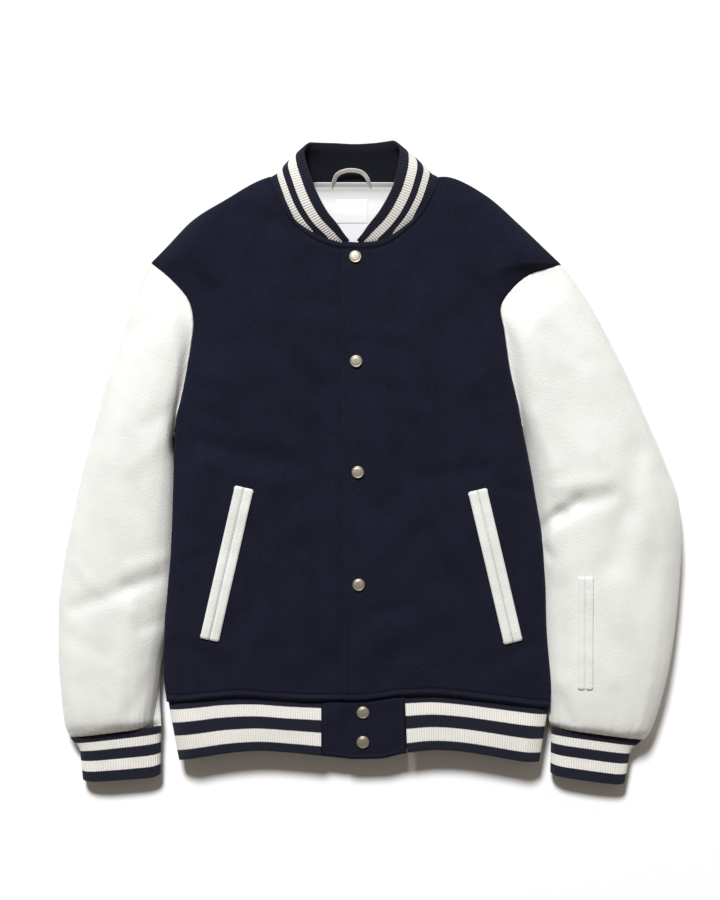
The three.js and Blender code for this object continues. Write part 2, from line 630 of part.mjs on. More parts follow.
// Height of a front's outer skin: it rises in a roll from the side and the shoulder to the filled-out middle,
// with the folds on it. The right front dips under the other one, and both dip at the hem seam.
function frontHeight(side, x, y) {
  const sign = side === 'right' ? -1 : 1;
  const fromSide = Math.max(sign * (sideX[side](y) - x), 0);
  const fromTop = Math.max(shoulderY(x) - y, 0);
  const share = Math.min(fromSide / SIDE_ROLL, 1);
  const round = Math.sqrt(1 - (1 - share) ** 2);
  const gentle = 1 - (1 - share) ** 2;
  const atArmhole = smoothstep(y, UNDERARM[side], UNDERARM[side] + 60);
  const sideRoll = lerp(round, gentle, atArmhole);
  const topRoll = Math.sqrt(1 - (1 - Math.min(fromTop / SHOULDER_ROLL, 1)) ** 2);
  const nearSide = (1 - sideRoll + 1e-6) / (sideRoll + 1e-6);
  const nearTop = (1 - topRoll) / (topRoll + 1e-9);
  const edge = (sideZ[side](y) * nearSide + shoulderZ(x) * nearTop) / (nearSide + nearTop);
  const folds = foldsAt(WOOL_FOLDS, x, y) * sideRoll * topRoll;
  const full = edge + (fill(y) - edge) * sideRoll * topRoll + folds;
  const underOverlap = side === 'right' ? smoothstep(x, OVERLAP_FADE.from, OVERLAP_FADE.to) : 0;
  const lip = 1 - smoothstep(y - hemY(x), 0, HEM_LIP.reach);
  return full - OVERLAP_DROP * underOverlap - HEM_LIP.height * lip * lip * sideRoll ** 3;
}

// Direction in plan from the body across its armhole seam, at a share of the side path
function acrossArmhole(side, v) {
  const step = 0.004;
  const along = sidePath[side](v + step).sub(sidePath[side](v - step));
  const turn = side === 'right' ? -1 : 1;
  return new THREE.Vector3(along.y * turn, -along.x * turn, 0).normalize();
}

// Share of a wall's full thickness at a place seen from above: it thins where four pieces meet, at the
// shoulder tip and under the arm
function thinAtCorners(side, p) {
  const rows = SIDE[side];
  const tip = Math.hypot(p.x - rows[rows.length - 1].x, p.y - rows[rows.length - 1].y);
  const underarm = Math.hypot(p.x - rows[UNDERARM_POINT].x, p.y - rows[UNDERARM_POINT].y);
  return lerp(0.45, 1, smoothstep(Math.min(tip, underarm), 0, 28));
}

// The neck seam and then the shoulder seam, from the centre front to the shoulder tip
function topPath(side) {
  const neck = pathThrough(TOP[side].slice(0, NECK_POINT + 1));
  const shoulder = pathThrough(TOP[side].slice(NECK_POINT));
  return (u) => (u < NECK_SHARE ? neck(u / NECK_SHARE) : shoulder((u - NECK_SHARE) / (1 - NECK_SHARE)));
}

function frontPoint(side) {
  const edge = FRONT_EDGE[side];
  const corner = SIDE[side][0];
  const hem = (u) => {
    const x = lerp(edge.bottom, corner.x, u);
    return new THREE.Vector3(x, hemY(x), 0);
  };
  const opening = (v) => new THREE.Vector3(
    lerp(edge.bottom, edge.top, v),
    lerp(hemY(edge.bottom), TOP[side][0].y, v),
    0,
  );
  const patch = patchBetween(hem, topPath(side), opening, sidePath[side]);
  return (u, v) => {
    const p = patch(u, v);
    p.z = frontHeight(side, p.x, p.y);
    return p;
  };
}

const UP = new THREE.Vector3(0, 0, 1);

// Edge cuts of the fronts: level at the side and shoulder seams, square to the seam at the armhole
function frontCuts(side) {
  return (u, v) => {
    const directions = [];
    if (u === 1 && v >= UNDERARM_ROW) directions.push(acrossArmhole(side, v));
    if ((u === 1 && v <= UNDERARM_ROW) || (v === 1 && u >= NECK_SHARE)) directions.push(UP);
    return directions;
  };
}

// Back: flat on the surface, rolled up to the side, armhole, shoulder and neck seams
const backNeckY = through(BACK_NECK, 'x', 'y');
const backNeckZ = through(BACK_NECK, 'x', 'z');

function backHeight(x, y) {
  const fromRight = x - sideX.right(y);
  const fromLeft = sideX.left(y) - x;
  const side = fromRight < fromLeft ? 'right' : 'left';
  const share = clamp(1 - Math.min(fromRight, fromLeft) / UNDER_ROLL, 0, 1);
  const atNeck = x > BACK_NECK[0].x && x < BACK_NECK[BACK_NECK.length - 1].x;
  const topY = atNeck ? backNeckY(x) : shoulderY(x);
  const topZ = atNeck ? backNeckZ(x) : shoulderZ(x);
  const topShare = clamp(1 - (topY - y) / SHOULDER_ROLL, 0, 1);
  const sidePart = (underZ[side](y) - SEAM) * share ** 1.5;
  const topPart = (topZ - SEAM) * topShare ** 1.6;
  return Math.max(sidePart, topPart, 0);
}

// The back's top edge shares the points of the two fronts at the shoulders, with the neck between them. Its
// columns are those points, each at its share of the back's width.
const shoulderSteps = FRONT_STEPS.filter((u) => u >= NECK_SHARE);
const backTopPoints = [
  ...shoulderSteps.map((u) => topPath('right')(u)).reverse(),
  ...steps(BACK_NECK_CELLS).slice(1, -1).map((t) => {
    const x = lerp(BACK_NECK[0].x, BACK_NECK[BACK_NECK.length - 1].x, t);
    return new THREE.Vector3(x, backNeckY(x), 0);
  }),
  ...shoulderSteps.map((u) => topPath('left')(u)),
];
const [backRightX, backLeftX] = [backTopPoints[0].x, backTopPoints[backTopPoints.length - 1].x];
const backSteps = backTopPoints.map(({ x }) => (x - backRightX) / (backLeftX - backRightX));

function backTop(u) {
  const next = clamp(backSteps.findIndex((share) => share >= u), 1, backSteps.length - 1);
  const t = (u - backSteps[next - 1]) / (backSteps[next] - backSteps[next - 1]);
  return backTopPoints[next - 1].clone().lerp(backTopPoints[next], t);
}

function backHem(u) {
  const x = lerp(SIDE.right[0].x, SIDE.left[0].x, u);
  return new THREE.Vector3(x, backHemY(x), 0);
}

function backPoint() {
  const patch = patchBetween(backHem, backTop, sidePath.right, sidePath.left);
  return (u, v) => {
    const p = patch(u, v);
    p.z = backHeight(p.x, p.y);
    return p;
  };
}

function backCuts(u, v) {
  const side = u < 0.5 ? 'right' : 'left';
  const atSide = u === 0 || u === 1;
  const directions = [];
  if (atSide && v >= UNDERARM_ROW) directions.push(acrossArmhole(side, v));
  if ((atSide && v <= UNDERARM_ROW) || v === 1) directions.push(UP);
  return directions;
}

// Sleeves: a point of the top or the under sleeve, `across` from the outer to the inner edge and `down` from
// the armhole to the cuff, both from 0 to 1. The first ring follows the body's armhole, row for row.
const roundUp = through(SLEEVE_ROUND, 'across', 'up');
const armholeRow = through(
  SLEEVE_ROUND.map(({ across }, i) => ({ across, v: ARMHOLE_ROWS[ARMHOLE_ROWS.length - 1 - i] })),
  'across',
  'v',
);

function sleevePoint(side, under) {
  const rows = SLEEVE[side].map((row, i) => ({ ...row, i }));
  const last = rows.length - 1;
  const columns = ['ox', 'oy', 'oz', 'ix', 'iy', 'iz', 'crown', 'lap'];
  const read = Object.fromEntries(columns.map((name) => [name, through(rows, 'i', name)]));
  return (across, down) => {
    const i = down * last;
    const outer = new THREE.Vector3(read.ox(i), read.oy(i), read.oz(i));
    const inner = new THREE.Vector3(read.ix(i), read.iy(i), read.iz(i));
    const p = outer.clone().lerp(inner, across);
    const row = armholeRow(across);
    const seam = sidePath[side](row).addScaledVector(acrossArmhole(side, row), SEAM);
    const straight = { x: lerp(rows[0].ox, rows[0].ix, across), y: lerp(rows[0].oy, rows[0].iy, across) };
    const bowShare = 1 - smoothstep(i, 0, lerp(ARMHOLE_FADE.outer, ARMHOLE_FADE.inner, across ** 3));
    p.x += (seam.x - straight.x) * bowShare;
    p.y += (seam.y - straight.y) * bowShare;
    const blend = 1 - smoothstep(i, 0, ARMHOLE_BLEND);
    const edge = sidePath[side](row);
    if (under) {
      const curl = Math.max(1 - Math.min(across, 1 - across) / SLEEVE_FLAT, 0);
      const nearInner = clamp((1 - across) / LAP_SHARE, 0, 1);
      const inwards = inner.clone().sub(outer).setZ(0).normalize();
      p.addScaledVector(inwards, read.lap(i) * Math.sin(nearInner * Math.PI));
      p.z = lerp(p.z * curl ** 1.8, backHeight(edge.x, edge.y), blend);
      p.z = Math.max(p.z - (SEAM / 2) * (1 - blend), 0);
      return p;
    }
    const raised = p.z + (read.crown(i) - p.z) * roundUp(across) + SEAM / 2;
    p.z = lerp(raised, frontHeight(side, edge.x, edge.y), blend);
    p.z += foldsAt(SLEEVE_FOLDS, p.x, p.y) * Math.min(roundUp(across) * 1.6, 1) * (1 - blend);
    return p;
  };
}

// Direction in plan from a sleeve's end towards its cuff
function towardsCuff(side) {
  const end = SLEEVE[side][SLEEVE[side].length - 1];
  const turn = side === 'right' ? 1 : -1;
  return new THREE.Vector3((end.iy - end.oy) * turn, -(end.ix - end.ox) * turn, 0).normalize();
}

function sleeveCuts(side) {
  return (across, down) => {
    const directions = [];
    if (down === 0) directions.push(acrossArmhole(side, armholeRow(across)));
    if (down === 1) directions.push(towardsCuff(side));
    if (across === 0 || across === 1) directions.push(UP);
    return directions;
  };
}

// Cuffs: a tube from the sleeve's end to its own lower edge. `round` runs once round it, over the top first.
function cuffPoint(side) {
  const end = SLEEVE[side][SLEEVE[side].length - 1];
  const cuff = CUFF[side];
  const away = towardsCuff(side);
  const upperOut = new THREE.Vector3(end.ox, end.oy, 0).addScaledVector(away, SEAM);
  const upperIn = new THREE.Vector3(end.ix, end.iy, 0).addScaledVector(away, SEAM);
  const lowerOut = new THREE.Vector3(cuff.ox, cuff.oy, 0);
  const lowerIn = new THREE.Vector3(cuff.ix, cuff.iy, 0);
  const power = (x) => Math.sign(x) * Math.abs(x) ** CUFF_ROUNDNESS;
  return (round, down) => {
    const angle = round * 2 * Math.PI;
    const wide = 0.5 - 0.5 * power(Math.cos(angle));
    const high = 0.5 + 0.5 * power(Math.sin(angle));
    const p = upperOut.clone().lerp(upperIn, lerp(cuff.start, cuff.end, wide));
    p.lerp(lowerOut.clone().lerp(lowerIn, wide), down);
    p.z = lerp(cuff.top, cuff.lower, down ** 0.7) * high;
    return p;
  };
}

// Columns that show have a rib each; the side that lies on the surface is plain
const cuffColumns = [
  ...steps(2 * CUFF_RIBS).map((t) => t * CUFF_RIB_SHARE),
  ...steps(CUFF_PLAIN).slice(1).map((t) => lerp(CUFF_RIB_SHARE, 1, t)),
];
const everyFourth = (from, to) => steps((to - from) / 4).map((t) => Math.round(lerp(from, to, t)));
const cuffInner = [
  ...everyFourth(0, 2 * CUFF_RIBS),
  ...steps(CUFF_PLAIN).slice(1).map((t) => 2 * CUFF_RIBS + CUFF_PLAIN * t),
];

// Hem band: one strip from the right tab round the back to the left tab. Its upper ring follows the hem seam.
function bandRings() {
  const frontUpper = (side) => (x) => ({ x, y: hemY(x) - BAND_GAP, z: frontHeight(side, x, hemY(x)) - 0.4 });
  const frontLower = (x) => ({ x, y: bandEdgeY(x), z: BAND_LOWER_HEIGHT });
  const upper = [
    ...BAND_FRONT.upperRight.map(frontUpper('right')),
    ...BAND_SIDES.upperRight,
    ...BAND_UNDER.map((x) => ({ x, y: backHemY(x) - BAND_GAP, z: 0 })),
    ...BAND_SIDES.upperLeft,
    ...BAND_FRONT.upperLeft.map(frontUpper('left')),
  ];
  const lower = [
    ...BAND_FRONT.lowerRight.map(frontLower),
    ...BAND_SIDES.lowerRight,
    ...BAND_UNDER.map((x) => ({ x: x * 0.95, y: bandEdgeY(x), z: 0 })),
    ...BAND_SIDES.lowerLeft,
    ...BAND_FRONT.lowerLeft.map(frontLower),
  ];
  return { upper: pathThrough(upper), lower: pathThrough(lower) };
}

function bandPoint() {
  const { upper, lower } = bandRings();
  return (round, down) => {
    const p = upper(round).lerp(lower(round), down);
    p.z = Math.max(p.z, 0);
    return p;
  };
}

const bandColumns = [
  ...steps(2 * BAND_RIBS).map((t) => t * BAND_RIB_SHARE),
  ...steps(BAND_PLAIN).slice(1, -1).map((t) => lerp(BAND_RIB_SHARE, 1 - BAND_RIB_SHARE, t)),
  ...steps(2 * BAND_RIBS).map((t) => 1 - BAND_RIB_SHARE * (1 - t)),
];
const bandInner = [
  ...everyFourth(0, 2 * BAND_RIBS),
  ...steps(BAND_PLAIN).slice(1, -1).map((t) => 2 * BAND_RIBS + BAND_PLAIN * t),
  ...everyFourth(2 * BAND_RIBS + BAND_PLAIN, 4 * BAND_RIBS + BAND_PLAIN),
].map(Math.round);

// Collar: a folded strip, its outer skin from the seam (v = 0) to the rim (v = 1)
function collarPoint() {
  const rows = COLLAR_PLACES.map((row, i) => ({ ...row, t: i / (COLLAR_PLACES.length - 1) }));
  const column = (name) => through(rows, 't', name);
  const [sx, sy, sz, rx, ry, rz, bulge] = ['sx', 'sy', 'sz', 'rx', 'ry', 'rz', 'bulge'].map(column);
  return (u, v) => {
    const p = new THREE.Vector3(sx(u), sy(u), sz(u)).lerp(new THREE.Vector3(rx(u), ry(u), rz(u)), v);
    const away = p.clone().sub(COLLAR_MIDDLE).setZ(0).normalize();
    return p.addScaledVector(away, bulge(u) * 4 * v * (1 - v));
  };
}

// The collar's skins close in towards its rim, which is a soft fold, and towards its pointed ends
function collarThickness(u, v) {
  const full = lerp(2, COLLAR, smoothstep(Math.min(u, 1 - u), 0, 0.09));
  return full * Math.sqrt(1 - clamp((v - 0.86) / 0.15, 0, 1) ** 2 * 0.85);
}

const jacket = new THREE.Group();

function add(name, geometry, material) {
  const mesh = new THREE.Mesh(geometry, material);
  mesh.name = name;
  jacket.add(mesh);
  return mesh;
}

// Fronts and back
for (const side of ['right', 'left']) {
  add(`front_${side}`, wall({
    at: frontPoint(side),
    us: FRONT_STEPS,
    vs: BODY_ROWS,
    thickness: (u, v) => WOOL * thinAtCorners(side, frontPoint(side)(u, v)),
    side: side === 'right' ? -1 : 1,
    cuts: frontCuts(side),
  }), COLOURS.wool);
}
add('back', wall({
  at: backPoint(),
  us: backSteps,
  vs: BODY_ROWS,
  thickness: (u, v) => WOOL * thinAtCorners(u < 0.5 ? 'right' : 'left', backPoint()(u, v)),
  side: -1,
  cuts: backCuts,
}), COLOURS.wool);

// Sleeves and cuffs
const acrossSteps = SLEEVE_ROUND.map(({ across }) => across);
for (const side of ['right', 'left']) {
  const turn = side === 'right' ? -1 : 1;
  for (const [name, under] of [['top', false], ['under', true]]) {
    add(`sleeve_${name}_${side}`, wall({
      at: sleevePoint(side, under),
      us: acrossSteps,
      vs: steps(SLEEVE[side].length - 1),
      thickness: (u, v) => LEATHER * thinAtCorners(side, sleevePoint(side, under)(u, v)),
      side: under ? -turn : turn,
      cuts: sleeveCuts(side),
    }), COLOURS.leather);
  }
  add(`cuff_${side}`, wall({
    at: cuffPoint(side),
    us: cuffColumns,
    vs: steps(2),
    thickness: KNIT,
    side: turn,
    closed: true,
    ribs: (u) => (u < CUFF_RIB_SHARE ? RIB_HEIGHT : 0),
    innerColumns: cuffInner,
    cuts: (u, v) => (v === 0 ? [towardsCuff(side)] : []),
  }), COLOURS.rib);
}

// Collar and hem band
add('collar_rib', wall({
  at: collarPoint(),
  us: steps(2 * COLLAR_RIBS),
  vs: COLLAR_ROWS,
  thickness: collarThickness,
  side: -1,
  ribs: () => RIB_HEIGHT,
  innerColumns: everyFourth(0, 2 * COLLAR_RIBS),
}), COLOURS.rib);
add('hem_rib', wall({
  at: bandPoint(),
  us: bandColumns,
  vs: steps(2),
  thickness: KNIT,
  side: 1,
  ribs: (u) => (Math.min(u, 1 - u) < BAND_RIB_SHARE ? RIB_HEIGHT : 0),
  innerColumns: bandInner,
}), COLOURS.rib);

// Leather welts: two lips beside each pocket's slit, laid on the cloth under them
function lipsOf(name, pocket, heightAt) {
  const start = new THREE.Vector3(pocket.x1, pocket.y1, 0);
  const end = new THREE.Vector3(pocket.x2, pocket.y2, 0);
  const sideways = end.clone().sub(start).cross(UP).normalize();
  const heightOver = (u) => LIP_HEIGHT * lerp(LIP_EDGE_SHARE, 1, 1 - (2 * u - 1) ** 4);
  for (const [label, from] of [['outer', LIP_GAP / 2], ['inner', -LIP_GAP / 2 - pocket.lip]]) {
    const at = (u, v) => {
      const p = start.clone().lerp(end, v).addScaledVector(sideways, from + pocket.lip * u);
      p.z = heightAt(p.x, p.y) + pocket.lift + heightOver(u);
      return p;
    };
    add(`${name}_${label}`, wall({
      at,
      us: LIP_STEPS,
      vs: steps(7),
      thickness: heightOver,
      side: -1,
      cuts: (u) => (u === 0 || u === 1 ? [sideways] : []),
    }), COLOURS.leather);
  }
}
for (const side of ['right', 'left']) {
  lipsOf(`pocket_welt_${side}`, POCKETS[side], (x, y) => frontHeight(side, x, y));
}

// Height of the left top sleeve at a place seen from above, found by closing in on it
function sleeveHeight(x, y) {
  const at = sleevePoint('left', false);
  let across = 0.7;
  let down = 0.7;
  for (let round = 0; round < 12; round += 1) {
    const p = at(across, down);
    const byAcross = at(across + 0.01, down).sub(p).multiplyScalar(100);
    const byDown = at(across, down + 0.01).sub(p).multiplyScalar(100);
    const size = byAcross.x * byDown.y - byAcross.y * byDown.x;
    across += ((x - p.x) * byDown.y - (y - p.y) * byDown.x) / size;
    down += ((y - p.y) * byAcross.x - (x - p.x) * byAcross.y) / size;
  }
  return at(across, down).z;
}
lipsOf('sleeve_pocket_welt', SLEEVE_POCKET, sleeveHeight);

// Wool tabs at the ends of the hem band, one over the other
function tabHeight(side, x, down) {
  const seamHeight = frontHeight('left', x, hemY(x) + HEM_LIP.reach) - HEM_LIP.height;
  return seamHeight - OVERLAP_DROP + TABS[side].lift - TAB_DROP * down ** 1.4;
}
for (const side of ['right', 'left']) {
  const tab = TABS[side];
  add(`hem_tab_${side}`, wall({
    at: (u, v) => {
      const x = lerp(lerp(tab.from, tab.to, u), lerp(tab.lowerFrom, tab.lowerTo, u), v);
      const y = lerp(hemY(x) - BAND_GAP, bandEdgeY(x), v);
      return new THREE.Vector3(x, y, tabHeight(side, x, v));
    },
    us: steps(6),
    vs: steps(5),
    thickness: TAB_THICKNESS,
    side: -1,
  }), COLOURS.wool);
}

// Snap caps, each square to the cloth under it
const capRadius = SNAP.diameter / 2;
const capProfile = SNAP_PROFILE.map(({ r, z }) => new THREE.Vector2(r * capRadius, z * SNAP.height));
SNAPS.forEach(({ x, y, on }, i) => {
  const heightAt = on === 'front'
    ? (px, py) => frontHeight('left', px, py)
    : (px, py) => tabHeight('left', px, (hemY(px) - py) / (hemY(px) - bandEdgeY(px)));
  const slopeX = (heightAt(x + capRadius, y) - heightAt(x - capRadius, y)) / SNAP.diameter;
  const slopeY = (heightAt(x, y + capRadius) - heightAt(x, y - capRadius)) / SNAP.diameter;
  const cap = new THREE.LatheGeometry(capProfile, SNAP.sides).rotateX(Math.PI / 2);
  const mesh = add(`snap_${i + 1}`, cap, COLOURS.metal);
  mesh.position.set(x, y, heightAt(x, y) + SNAP.lift);
  mesh.quaternion.setFromUnitVectors(UP, new THREE.Vector3(-slopeX, -slopeY, 1).normalize());
});

// Lining, label and hanger loop at the back neck
const liningLeft = through(NECK_LINING, 'y', 'left');
const liningRight = through(NECK_LINING, 'y', 'right');
const liningZ = through(NECK_LINING, 'y', 'z');
add('neck_lining', wall({
  at: (u, v) => {
    const y = lerp(NECK_LINING[0].y, NECK_LINING[NECK_LINING.length - 1].y, v);
    const x = lerp(liningLeft(y), liningRight(y), u);
    const overBack = backHeight(x, y) + WOOL + SEAM + LINING + LINING_LIFT;
    return new THREE.Vector3(x, y, Math.max(liningZ(y), overBack));
  },
  us: steps(6),
  vs: steps(7),
  thickness: LINING,
}), COLOURS.lining);
add('label_patch', wall({
  at: (u, v) => {
    const y = lerp(LABEL.bottom, LABEL.top, v);
    return new THREE.Vector3(lerp(LABEL.left, LABEL.right, u), y, liningZ(y) + SEAM + LINING + 0.1);
  },
  us: steps(3),
  vs: steps(4),
  thickness: LINING,
}), COLOURS.lining);

const loopPath = pathThrough(LOOP);
add('hanger_loop', wall({
  at: (u, v) => {
    const p = loopPath(v);
    const along = loopPath(Math.min(v + 0.01, 1)).sub(loopPath(Math.max(v - 0.01, 0))).setZ(0).normalize();
    return p.addScaledVector(along.cross(UP), (u - 0.5) * LOOP_WIDTH);
  },
  us: steps(2),
  vs: steps(18),
  thickness: LINING,
}), COLOURS.tape);

export default jacket;
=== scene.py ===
import bmesh
import bpy
import numpy as np
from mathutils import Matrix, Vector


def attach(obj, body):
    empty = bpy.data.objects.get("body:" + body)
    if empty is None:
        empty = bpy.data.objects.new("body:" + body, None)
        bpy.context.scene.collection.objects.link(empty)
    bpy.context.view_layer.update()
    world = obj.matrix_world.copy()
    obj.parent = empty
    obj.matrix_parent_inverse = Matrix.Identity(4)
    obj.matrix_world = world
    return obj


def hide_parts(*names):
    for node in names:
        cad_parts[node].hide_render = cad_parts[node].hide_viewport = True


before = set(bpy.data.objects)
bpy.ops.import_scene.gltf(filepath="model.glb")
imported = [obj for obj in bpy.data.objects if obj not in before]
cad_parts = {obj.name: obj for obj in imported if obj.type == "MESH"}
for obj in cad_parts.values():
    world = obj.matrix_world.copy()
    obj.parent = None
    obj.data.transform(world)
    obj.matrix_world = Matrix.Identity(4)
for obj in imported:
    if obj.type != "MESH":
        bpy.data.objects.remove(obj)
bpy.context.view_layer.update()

# Wool fronts
# Two panels of thick brushed melton, navy, cut with the shoulder as one seam line and closed with snaps.
# The left one lies over the right one, with its edge turned in and topstitched. Sizes are in millimetres,
# as cut and sewn.
MM = 0.001
WOOL_THICKNESS = 2.4
FRONT_CUT = {"right": (292, 665, 139000), "left": (284, 660, 133000)}
SEAM = 0.3
WOOL_COLOUR = (0.0095, 0.0102, 0.0205)
SIDE_ROLL = 58
SHOULDER_ROLL = 36
OVERLAP_DROP = 3.2
OVERLAP_LINE = -18
OVERLAP_FADE = (-62, -22)
HEM_LIP = {"height": 3, "reach": 9}
NECK_SHARE = 0.42
NECK_POINT = 6
NECK_MIDDLE = np.array([-3, 320, 0.0])
NECK_LIP = 2.2
UNDERARM = {"right": 42, "left": 51}


def table(columns, *rows):
    """A table with named columns, one row for each place."""
    return dict(zip(columns.split(), np.array(rows, float).T))


SIDE = {
    "right": table(
        "x y z",
        (-223, -282, 36), (-226, -256, 38), (-225, -186, 38), (-220, -116, 38), (-216, -16, 38),
        (-212, 42, 38), (-209, 58, 42), (-203, 82, 45), (-194, 132, 47), (-191, 163, 47), (-197, 188, 44),
        (-216, 211, 38), (-242, 233, 25),
    ),
    "left": table(
        "x y z",
        (226, -289, 36), (227, -262, 38), (222, -200, 38), (219, -110, 38), (206, -24, 38), (191, 51, 38),
        (188, 67, 42), (179, 104, 46), (172, 151, 47), (168, 180, 46), (181, 201, 43), (203, 219, 38),
        (240, 231, 25),
    ),
}
TOP = {
    "right": table(
        "x y",
        (14, 254), (-12, 253), (-42, 260), (-66, 274), (-84, 293), (-96, 317), (-102, 333),
        (-118, 327), (-153, 307), (-191, 284), (-225, 250), (-242, 233),
    ),
    "left": table(
        "x y",
        (-18, 254), (8, 253), (32, 257), (52, 269), (72, 287), (88, 312), (96, 333),
        (110, 332), (150, 312), (190, 278), (225, 245), (240, 231),
    ),
}
SHOULDER = table(
    "x y z",
    (-242, 233, 25), (-225, 250, 27), (-191, 284, 30), (-153, 307, 34), (-118, 327, 37), (-102, 333, 38),
    (-90, 362, 38), (-76, 420, 38), (70, 420, 38), (84, 362, 38),
    (96, 333, 38), (110, 332, 37), (150, 312, 34), (190, 278, 30), (225, 245, 27), (240, 231, 25),
)
FRONT_EDGE = {"right": {"top": 14, "bottom": 20}, "left": {"top": -18, "bottom": -14}}
HEM_SEAM = table(
    "x y",
    (-223, -282), (-215, -283), (-177, -280), (-138, -277), (-92, -280), (-37, -282), (0, -282),
    (53, -276), (88, -275), (140, -280), (190, -286), (217, -289), (226, -289),
)
FILL = table(
    "y z",
    (-300, 45), (-270, 46), (-200, 53), (-100, 58), (0, 60), (100, 61), (180, 59), (250, 53), (300, 49),
    (340, 46),
)
WOOL_FOLDS = table(
    "x1 y1 x2 y2 width height",
    (-135, 292, -76, 268, 13, -3), (-207, 232, -170, 198, 11, -3), (-170, 198, -158, 135, 12, -3),
    (-56, 236, -40, 85, 17, -3.5), (-40, 85, -52, -100, 15, -2.5), (-52, -100, -36, -240, 16, -3),
    (-183, 22, -81, -2, 12, -3.5), (-178, -4, -96, -26, 12, 2.5), (-81, -119, -149, -207, 17, -3.5),
    (40, 207, 54, 163, 10, -2.5), (42, 85, 80, 71, 10, -2.5), (76, -18, 149, -10, 10, -3),
    (50, 7, 76, -85, 14, -3), (76, -85, 118, -150, 15, -3.5), (47, -225, 99, -196, 15, -3),
    (149, 290, 160, 190, 13, -3),
)
WOOL_CREASES = table(
    "x1 y1 x2 y2 width height",
    (-2, 139, 47, 133, 9, -2), (173, -32, 202, -36, 8, -2.2), (-120, -60, -95, -20, 12, 1.8),
    (-190, 60, -140, 40, 10, -2.2), (-195, 100, -150, 96, 9, 1.6), (120, 60, 175, 75, 10, -2.1),
    (130, 90, 172, 112, 9, 1.7), (-205, -120, -170, -105, 9, -1.7), (-210, -215, -150, -238, 12, -2.1),
    (150, -238, 210, -215, 11, -2), (-30, 180, -75, 190, 12, -1.8), (100, 150, 140, 200, 14, -2.2),
    (-110, 120, -70, 60, 18, 1.8), (12, -60, 48, -40, 9, -1.6), (20, -180, 60, -170, 10, -1.7),
)


def through(rows, key, value):
    """A smooth function through a table's rows, from one column to another, with no overshoot."""
    order = np.argsort(rows[key])
    t, f = rows[key][order], rows[value][order]
    slopes = np.diff(f) / np.diff(t)
    product = slopes[:-1] * slopes[1:]
    total = slopes[:-1] + slopes[1:]
    inside = np.where(product > 0, 2 * product / np.where(total == 0, 1, total), 0)
    tangents = np.concatenate([slopes[:1], inside, slopes[-1:]])

    def at(x):
        x = np.clip(x, t[0], t[-1])
        i = np.clip(np.searchsorted(t, x, side="right") - 1, 0, len(slopes) - 1)
        span = t[i + 1] - t[i]
        s = (x - t[i]) / span
        start = (1 + 2 * s) * (1 - s) ** 2 * f[i] + s * (1 - s) ** 2 * span * tangents[i]
        end = s * s * (3 - 2 * s) * f[i + 1] + s * s * (s - 1) * span * tangents[i + 1]
        return start + end

    return at


def unit(vectors):
    return vectors / np.linalg.norm(vectors, axis=1)[:, None]


def apart(a, b):
    return np.linalg.norm(a - b, axis=1)


def length_along(line):
    """The length along a line's points, from its first one."""
    return np.concatenate([[0], np.cumsum(np.linalg.norm(np.diff(line, axis=0), axis=1))])


def read_line(t, key, line):
    """Points of a line where its key, one value for each of its points, has the values t."""
    return np.stack([np.interp(t, key, line[:, axis]) for axis in range(3)], axis=1)


def path_through(rows):
    """A smooth path through a table's points, read at equal steps of length from 0 to 1."""
    points = np.stack([rows["x"], rows["y"], rows.get("z", 0 * rows["x"])], axis=1)
    held = np.vstack([2 * points[0] - points[1], points, 2 * points[-1] - points[-2]])
    s = np.linspace(0, 1, 40, endpoint=False)[:, None]
    pieces = []
    for p0, p1, p2, p3 in zip(held, held[1:], held[2:], held[3:]):
        d0, d1, d2 = (np.linalg.norm(b - a) ** 0.5 for a, b in ((p0, p1), (p1, p2), (p2, p3)))
        leave = ((p1 - p0) / d0 - (p2 - p0) / (d0 + d1) + (p2 - p1) / d1) * d1
        reach = ((p2 - p1) / d1 - (p3 - p1) / (d1 + d2) + (p3 - p2) / d2) * d1
        start = (2 * s**3 - 3 * s**2 + 1) * p1 + (s**3 - 2 * s**2 + s) * leave
        pieces.append(start + (3 * s**2 - 2 * s**3) * p2 + (s**3 - s**2) * reach)
    line = np.vstack([*pieces, points[-1:]])
    length = length_along(line)
    return lambda t: read_line(t, length / length[-1], line)


def mix(a, b, t):
    return a + (b - a) * t


def smooth(x, start, end):
    """0 before start, 1 after end, and a smooth step between them."""
    t = np.clip((x - start) / (end - start), 0, 1)
    return t * t * (3 - 2 * t)


def folds_at(folds, x, y):
    """Height that a table's folds add at points: each is a soft trough or ridge between two points."""
    total = 0 * x
    columns = ("x1", "y1", "x2", "y2", "width", "height")
    for x1, y1, x2, y2, width, height in zip(*(folds[name] for name in columns)):
        dx, dy = x2 - x1, y2 - y1
        t = np.clip(((x - x1) * dx + (y - y1) * dy) / (dx * dx + dy * dy), 0, 1)
        far = np.hypot(x - x1 - t * dx, y - y1 - t * dy) / width
        total = total + height * np.exp(-far * far)
    return total


def wobble(x, y, size, seed):
    """Slow uneven rise and fall of cloth, from -1 to 1, over about that size."""
    total = 0 * x
    for i in range(5):
        angle = seed + 1.9 * i
        wave = 2 * np.pi / (size * (0.8 + 0.23 * i))
        total = total + np.sin(wave * (x * np.cos(angle) + y * np.sin(angle)) + 2.3 * i * seed)
    return total / 5


def patch_between(bottom, top, start, end):
    """A patch between four edge paths, read from 0 to 1: bottom and top along u, start and end along v."""
    zero, one = np.zeros(1), np.ones(1)
    corners = [bottom(zero), bottom(one), top(zero), top(one)]

    def at(u, v):
        a, b = u[:, None], v[:, None]
        p = mix(bottom(u), top(u), b)
        p += (start(v) - mix(corners[0], corners[2], b)) * (1 - a) ** 2
        return p + (end(v) - mix(corners[1], corners[3], b)) * a**2

    return at


